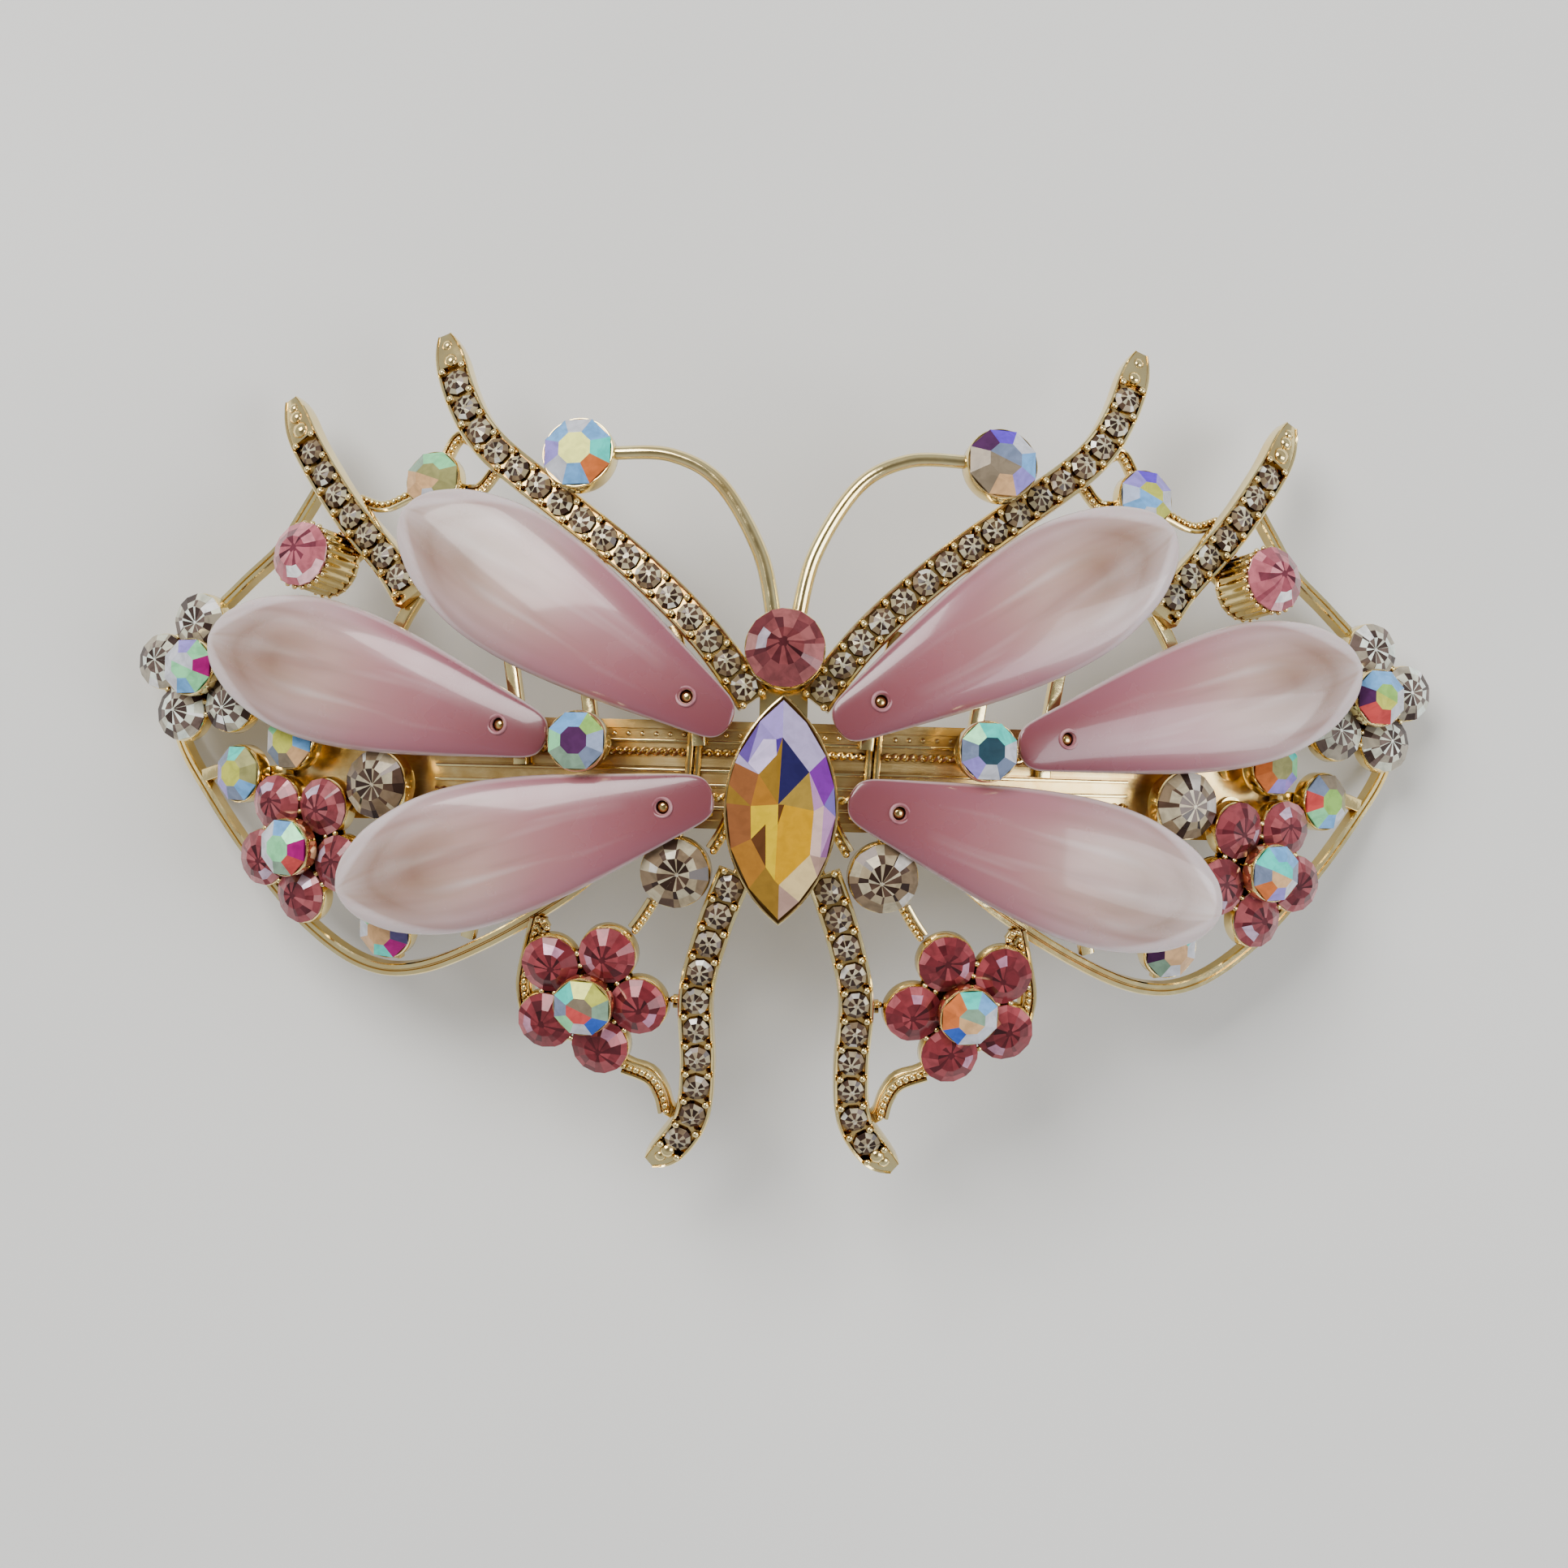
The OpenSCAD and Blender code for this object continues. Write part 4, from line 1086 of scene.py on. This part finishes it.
def rims():
    """Two raised edges with a fine groove between them."""
    w, low, high = 0.55, SKELETON_LOW, SKELETON_TOP
    section = [
        (w - 0.1, low), (w, low + 0.1), (w, high - 0.12), (w - 0.1, high), (0.12, high),
        (0.04, high - 0.14), (-0.04, high - 0.14), (-0.12, high), (-w + 0.1, high), (-w, high - 0.12),
        (-w, low + 0.1), (-w + 0.1, low),
    ]

    def build(shape, sign):
        sweep(shape, frames_on(stations(RIM, 160, sign)), section)

    on_both_wings("wing_rim", "band", build)


rims()


def ties():
    section = section_box(0.6, SKELETON_LOW + 0.1, SKELETON_TOP, 0.18)

    def build(shape, sign):
        for line in TIES:
            sweep(shape, frames_on(stations(line, 18, sign)), section)

    on_both_wings("wing_ties", "bars", build)


ties()


def milled(shape, line, sign, low, top):
    """A flat wire with a polished edge on one side and a row of small beads along the other."""
    frames = frames_on(stations(line, 16, sign))
    sweep(shape, frames, section_box(0.45, low, top, 0.12))
    edge = [(p + s * (0.42 * sign) + u * (top + 0.05), s, u) for p, s, u in frames]
    sweep(shape, edge, section_round(0.2, 8))
    count = max(1, round(line_length(smooth_line(line)) / 0.6))
    for place, side, up in frames_on(stations(line, count, sign)):
        bead(shape, place - side * (0.14 * sign) + up * (top + 0.02), 0.32, up, 0.85)


def milled_wires():
    def build(shape, sign):
        for line in BEAD_WIRES:
            milled(shape, line, sign, SKELETON_TOP, 0.5)

    on_both_wings("bead_wires", "milled", build)
    shape = Shape()
    for _, sign in SIDES:
        for line in ROPES:
            milled(shape, line, sign, -0.95, -0.35)
    gilt("rope_links_milled", shape, "rope_links")


milled_wires()


def antennae():
    """A tapering wire that curls into the cup of its end stone."""
    ends = settings_of("antenna_stones")
    count = 72

    def build(shape, sign):
        frames = frames_on(stations(ANTENNA, count, sign))
        widths = [1 - 0.15 * i / count for i in range(count + 1)]
        rings = [(p, s * w, u * w) for (p, s, u), w in zip(frames, widths)]
        sweep(shape, rings, section_round(0.68, 14))
        cup(shape, [s for s in ends if s.low.x * sign > 0][0], floor=-0.5)

    on_both_wings("antenna", "wire", build)


antennae()

# ---- petals

PETAL_L = 33.5
PETAL_W = 12
PETAL_T = 2.4
PETAL_EDGE = 0.5
PIN_AT = 4.2
HOLE_R = 0.62
# Half widths along a petal, as shares of its length and of its greatest half width
PETAL_OUTLINE = [
    (0, 0.05), (0.004, 0.15), (0.013, 0.24), (0.03, 0.31), (0.06, 0.37), (0.15, 0.5), (0.3, 0.71),
    (0.45, 0.89), (0.6, 1), (0.74, 0.98), (0.87, 0.78), (0.95, 0.5), (0.985, 0.27), (1, 0.06),
]
BELLY_AT = 0.66
EYE_TOP = 1.4


def petal_crest(t):
    return PETAL_EDGE + (PETAL_T - PETAL_EDGE) * max(0, math.sin(math.pi * min(1, t) ** 1.2)) ** 0.6


def petal_mesh():
    """A domed drop with a rounded edge, a flat back and a hole in its narrow end."""
    across = 28
    points, faces, rows, ways = [], [], [], {"along": [], "edge": [], "side": []}

    def note(t, s, z):
        points.append(Vector((t * PETAL_L, half * s, z)))
        ways["along"].append(t)
        reach = max(0, (t - BELLY_AT) / (1 - BELLY_AT))
        ways["edge"].append(min(1, math.hypot(abs(s), reach) if t > BELLY_AT else abs(s)))
        ways["side"].append(s)

    for q in smooth_line([(t, w) for t, w in PETAL_OUTLINE], 6):
        t, half = q.x, q.y * PETAL_W / 2
        fullness = min(1, half / 1.5) ** 0.5
        edge = 0.4 * fullness
        crest = max(petal_crest(t), edge)
        row = []
        for k in range(across + 1):
            s = -math.cos(math.pi * k / across)
            row.append(len(points))
            note(t, s, edge + (crest - edge) * (1 - s * s) ** 0.36)
        for k in range(across, -1, -1):
            s = -math.cos(math.pi * k / across)
            row.append(len(points))
            note(t, s, 0.25 * fullness * s * s)
        rows.append(row)
    n = len(rows[0])
    for a, b in zip(rows, rows[1:]):
        faces += [(a[j], b[j], b[(j + 1) % n], a[(j + 1) % n]) for j in range(n)]
    faces += [tuple(rows[0]), tuple(reversed(rows[-1]))]
    mesh = bpy.data.meshes.new("petal_solid")
    mesh.from_pydata([p * MM for p in points], [], faces)
    for name, values in ways.items():
        mesh.attributes.new(name, "FLOAT", "POINT").data.foreach_set("value", values)
    bm = bmesh.new()
    bm.from_mesh(mesh)
    bmesh.ops.remove_doubles(bm, verts=bm.verts, dist=1e-7)
    bmesh.ops.recalc_face_normals(bm, faces=bm.faces)
    bm.to_mesh(mesh)
    bm.free()
    return with_hole(mesh)


def with_hole(mesh):
    """Cuts the pin hole."""
    bm = bmesh.new()
    r = HOLE_R * MM
    bmesh.ops.create_cone(bm, cap_ends=True, segments=40, radius1=r, radius2=r, depth=6 * MM)
    bmesh.ops.translate(bm, verts=bm.verts, vec=(PIN_AT * MM, 0, 0))
    drill_mesh = bpy.data.meshes.new("petal_drill")
    bm.to_mesh(drill_mesh)
    bm.free()
    body = placed("petal_body", mesh)
    drill = placed("petal_drill", drill_mesh)
    cut = body.modifiers.new("hole", "BOOLEAN")
    cut.operation = "DIFFERENCE"
    cut.solver = "EXACT"
    cut.object = drill
    result = bpy.data.meshes.new_from_object(body.evaluated_get(bpy.context.evaluated_depsgraph_get()))
    for obj in (body, drill):
        bpy.data.objects.remove(obj)
    result.shade_smooth()
    result.set_sharp_from_angle(angle=math.radians(50))
    return result


def petal_place(ends, sign):
    """The petal's own frame: X from its narrow end to its wide end, Z square to it and out of the wing."""
    a, b = [spot((sign * p[0], p[1], p[2])) for p in ends]
    x = (b - a).normalized()
    out = out_of(sign * (ends[0][0] + ends[1][0]) / 2, (ends[0][1] + ends[1][1]) / 2)
    z = (out - x * x.dot(out)).normalized()
    place = Matrix((x, z.cross(x), z)).transposed().to_4x4()
    place.translation = a
    return place


def petals():
    mesh = petal_mesh()
    mesh.materials.clear()
    mesh.materials.append(resin)
    pins = Shape()
    eyelets = Shape()
    for name, ends in PETALS.items():
        for side_name, sign in SIDES:
            place = petal_place(ends, sign)
            obj = placed(f"petal_{name}_{side_name}_moulded", mesh.copy())
            in_metres = place.copy()
            in_metres.translation = place.translation * MM
            obj.matrix_world = in_metres
            declare(obj, [f"petal_{name}_{side_name}"])
            pin = place @ Matrix.Translation((PIN_AT, 0, 0))
            foot = ends[0][2] - 0.5
            lathe(pins, [
                (1.1, -foot), (1.1, -foot + 0.4), (0.85, -foot + 0.7), (0.85, -0.45), (1.1, -0.3),
                (1.1, -0.1), (0.5, -0.05), (0.5, 0.8), (0.4, 0.95), (0.22, 1.03), (0.05, 1.05),
            ], pin, 32)
            lathe(eyelets, [
                (HOLE_R - 0.05, EYE_TOP - 0.5), (0.88, EYE_TOP - 0.5), (0.9, EYE_TOP - 0.06),
                (0.84, EYE_TOP + 0.03), (0.76, EYE_TOP + 0.04), (0.66, EYE_TOP - 0.04),
                (HOLE_R - 0.05, EYE_TOP - 0.16),
            ], pin, 40, closed=True)
    piece("petal_eyelets", eyelets, hole_resin, sharp=60)
    gilt("petal_pins_turned", pins, "petal_pins")


petals()

# ---- the base strip's ornament

# Rows along the strip at these distances from its middle line, and wraps across it
RAIL_ROWS = (-3.9, -2.75, -0.9, 0.3, 2.75, 3.9)
DOT_ROWS = (-3.32, 3.32)
TWIST_ROWS = (-1.85, 1.85)
WRAPS = (-7.5, 7.5)
ROW_END = 30
# Height of the wraps' middle above the surface: they lie on the base strip's rails
BASE_HUG = 0.1 - BASE_DROP + RIDGE_H


def row_frames(y, count):
    """Frames along the base strip's face at a given y."""
    r = ARCH_R - BASE_DROP
    result = []
    for i in range(count + 1):
        a = math.asin((2 * ROW_END * i / count - ROW_END) / ARCH_R)
        place = SEAT + Vector((r * math.sin(a), y, r * math.cos(a) - ARCH_R))
        result.append((place, Vector((0, -1, 0)), Vector((math.sin(a), 0, math.cos(a)))))
    return result


def wrap_frames(x):
    """Frames across the base strip, a little slanted and bowed over its rails."""
    across, up = Vector((1, 0, 0)), Vector((0, 0, 1))
    return [
        (spot((x + y / 18, y, 0)) + up * (BASE_HUG + y * y / 120), across, up) for y in (-4.2, -2, 0, 2, 4.2)
    ]


def base_ornament():
    """Rails, embossed dots and twisted bands along the strip, and pairs of wires wrapped over it."""
    shape = Shape()
    for y in RAIL_ROWS:
        sweep(shape, row_frames(y, 120), section_box(0.14, -0.1, 0.24, 0.06))
    for y in DOT_ROWS:
        for place, _, up in row_frames(y, 50):
            bead(shape, place, 0.22, up, 0.5)
    for y in TWIST_ROWS:
        twist(shape, row_frames(y, 420), 0.16, 0.2, 1.5, 0.06)
    for x in WRAPS:
        for shift in (-0.35, 0.35):
            sweep(shape, wrap_frames(x + shift), section_round(0.3, 10))
    gilt("base_ornament", shape)


base_ornament()

# The CAD nodes that keep their own meshes
CAD_MATERIALS = {
    "barrette_base": brushed, "clasp_arm": gold, "catch_rivets": gold, "body_plate": gold,
    "hinge_pin": steel, "tension_bar": steel, "catch_bracket": steel, "catch_lever_front": steel,
    "catch_lever_rear": steel,
}
for node, material in CAD_MATERIALS.items():
    frame["nodes"][node].data.materials.clear()
    frame["nodes"][node].data.materials.append(material)

# ---- floor, lights and camera


FLOOR_REACH = 3


def floor():
    mesh = bpy.data.meshes.new("floor")
    corners = [(-1, -1), (1, -1), (1, 1), (-1, 1)]
    mesh.from_pydata([(FLOOR_REACH * x, FLOOR_REACH * y, 0) for x, y in corners], [], [(0, 1, 2, 3)])
    mesh.materials.append(pale_floor())
    placed("floor", mesh)


def softbox(name, place, size, power, colour):
    """A soft light aimed at the clip."""
    light = bpy.data.lights.new(name, "AREA")
    light.shape = "RECTANGLE"
    light.size, light.size_y = size
    light.energy = power
    light.color = colour
    obj = placed(name, light)
    obj.location = place
    obj.rotation_euler = (-Vector(place)).to_track_quat("-Z", "Y").to_euler()


def world():
    """An even studio that is darker overhead than round the sides, so that polished wires show dark lines."""
    w = bpy.data.worlds.new("studio")
    w.use_nodes = True
    tree = w.node_tree
    way = tree.nodes.new("ShaderNodeTexCoord")
    parts = tree.nodes.new("ShaderNodeSeparateXYZ")
    sky = tree.nodes.new("ShaderNodeValToRGB")
    side, overhead = sky.color_ramp.elements
    side.position, side.color = 0.3, (0.85, 0.87, 0.9, 1)
    overhead.position, overhead.color = 0.98, (0.3, 0.28, 0.25, 1)
    sky.color_ramp.elements.new(0.62).color = (1, 1, 1, 1)
    tree.links.new(way.outputs["Generated"], parts.inputs[0])
    tree.links.new(parts.outputs["Z"], sky.inputs["Fac"])
    tree.links.new(sky.outputs["Color"], tree.nodes["Background"].inputs["Color"])
    tree.nodes["Background"].inputs["Strength"].default_value = 0.55
    bpy.context.scene.world = w


CAMERA_RISE = 0.27
CAMERA_SHIFT = Vector((0.0002, -0.0006, 0))
LENS = 74.6
TURN = 1.5


def camera():
    """Straight above the clip; the clip lies turned a little clockwise."""
    cam = bpy.data.cameras.new("camera")
    cam.lens = LENS
    cam.sensor_width = 36
    obj = placed("camera", cam)
    obj.location = SEAT * MM + CAMERA_SHIFT + Vector((0, 0, CAMERA_RISE))
    obj.rotation_euler = (0, 0, math.radians(TURN))
    bpy.context.scene.camera = obj


floor()
world()
softbox("key", (-0.35, 0.45, 0.75), (0.5, 0.5), 10, (1, 0.98, 0.95))
softbox("fill", (0.6, -0.1, 0.55), (0.4, 0.6), 4.5, (0.95, 0.97, 1))
camera()
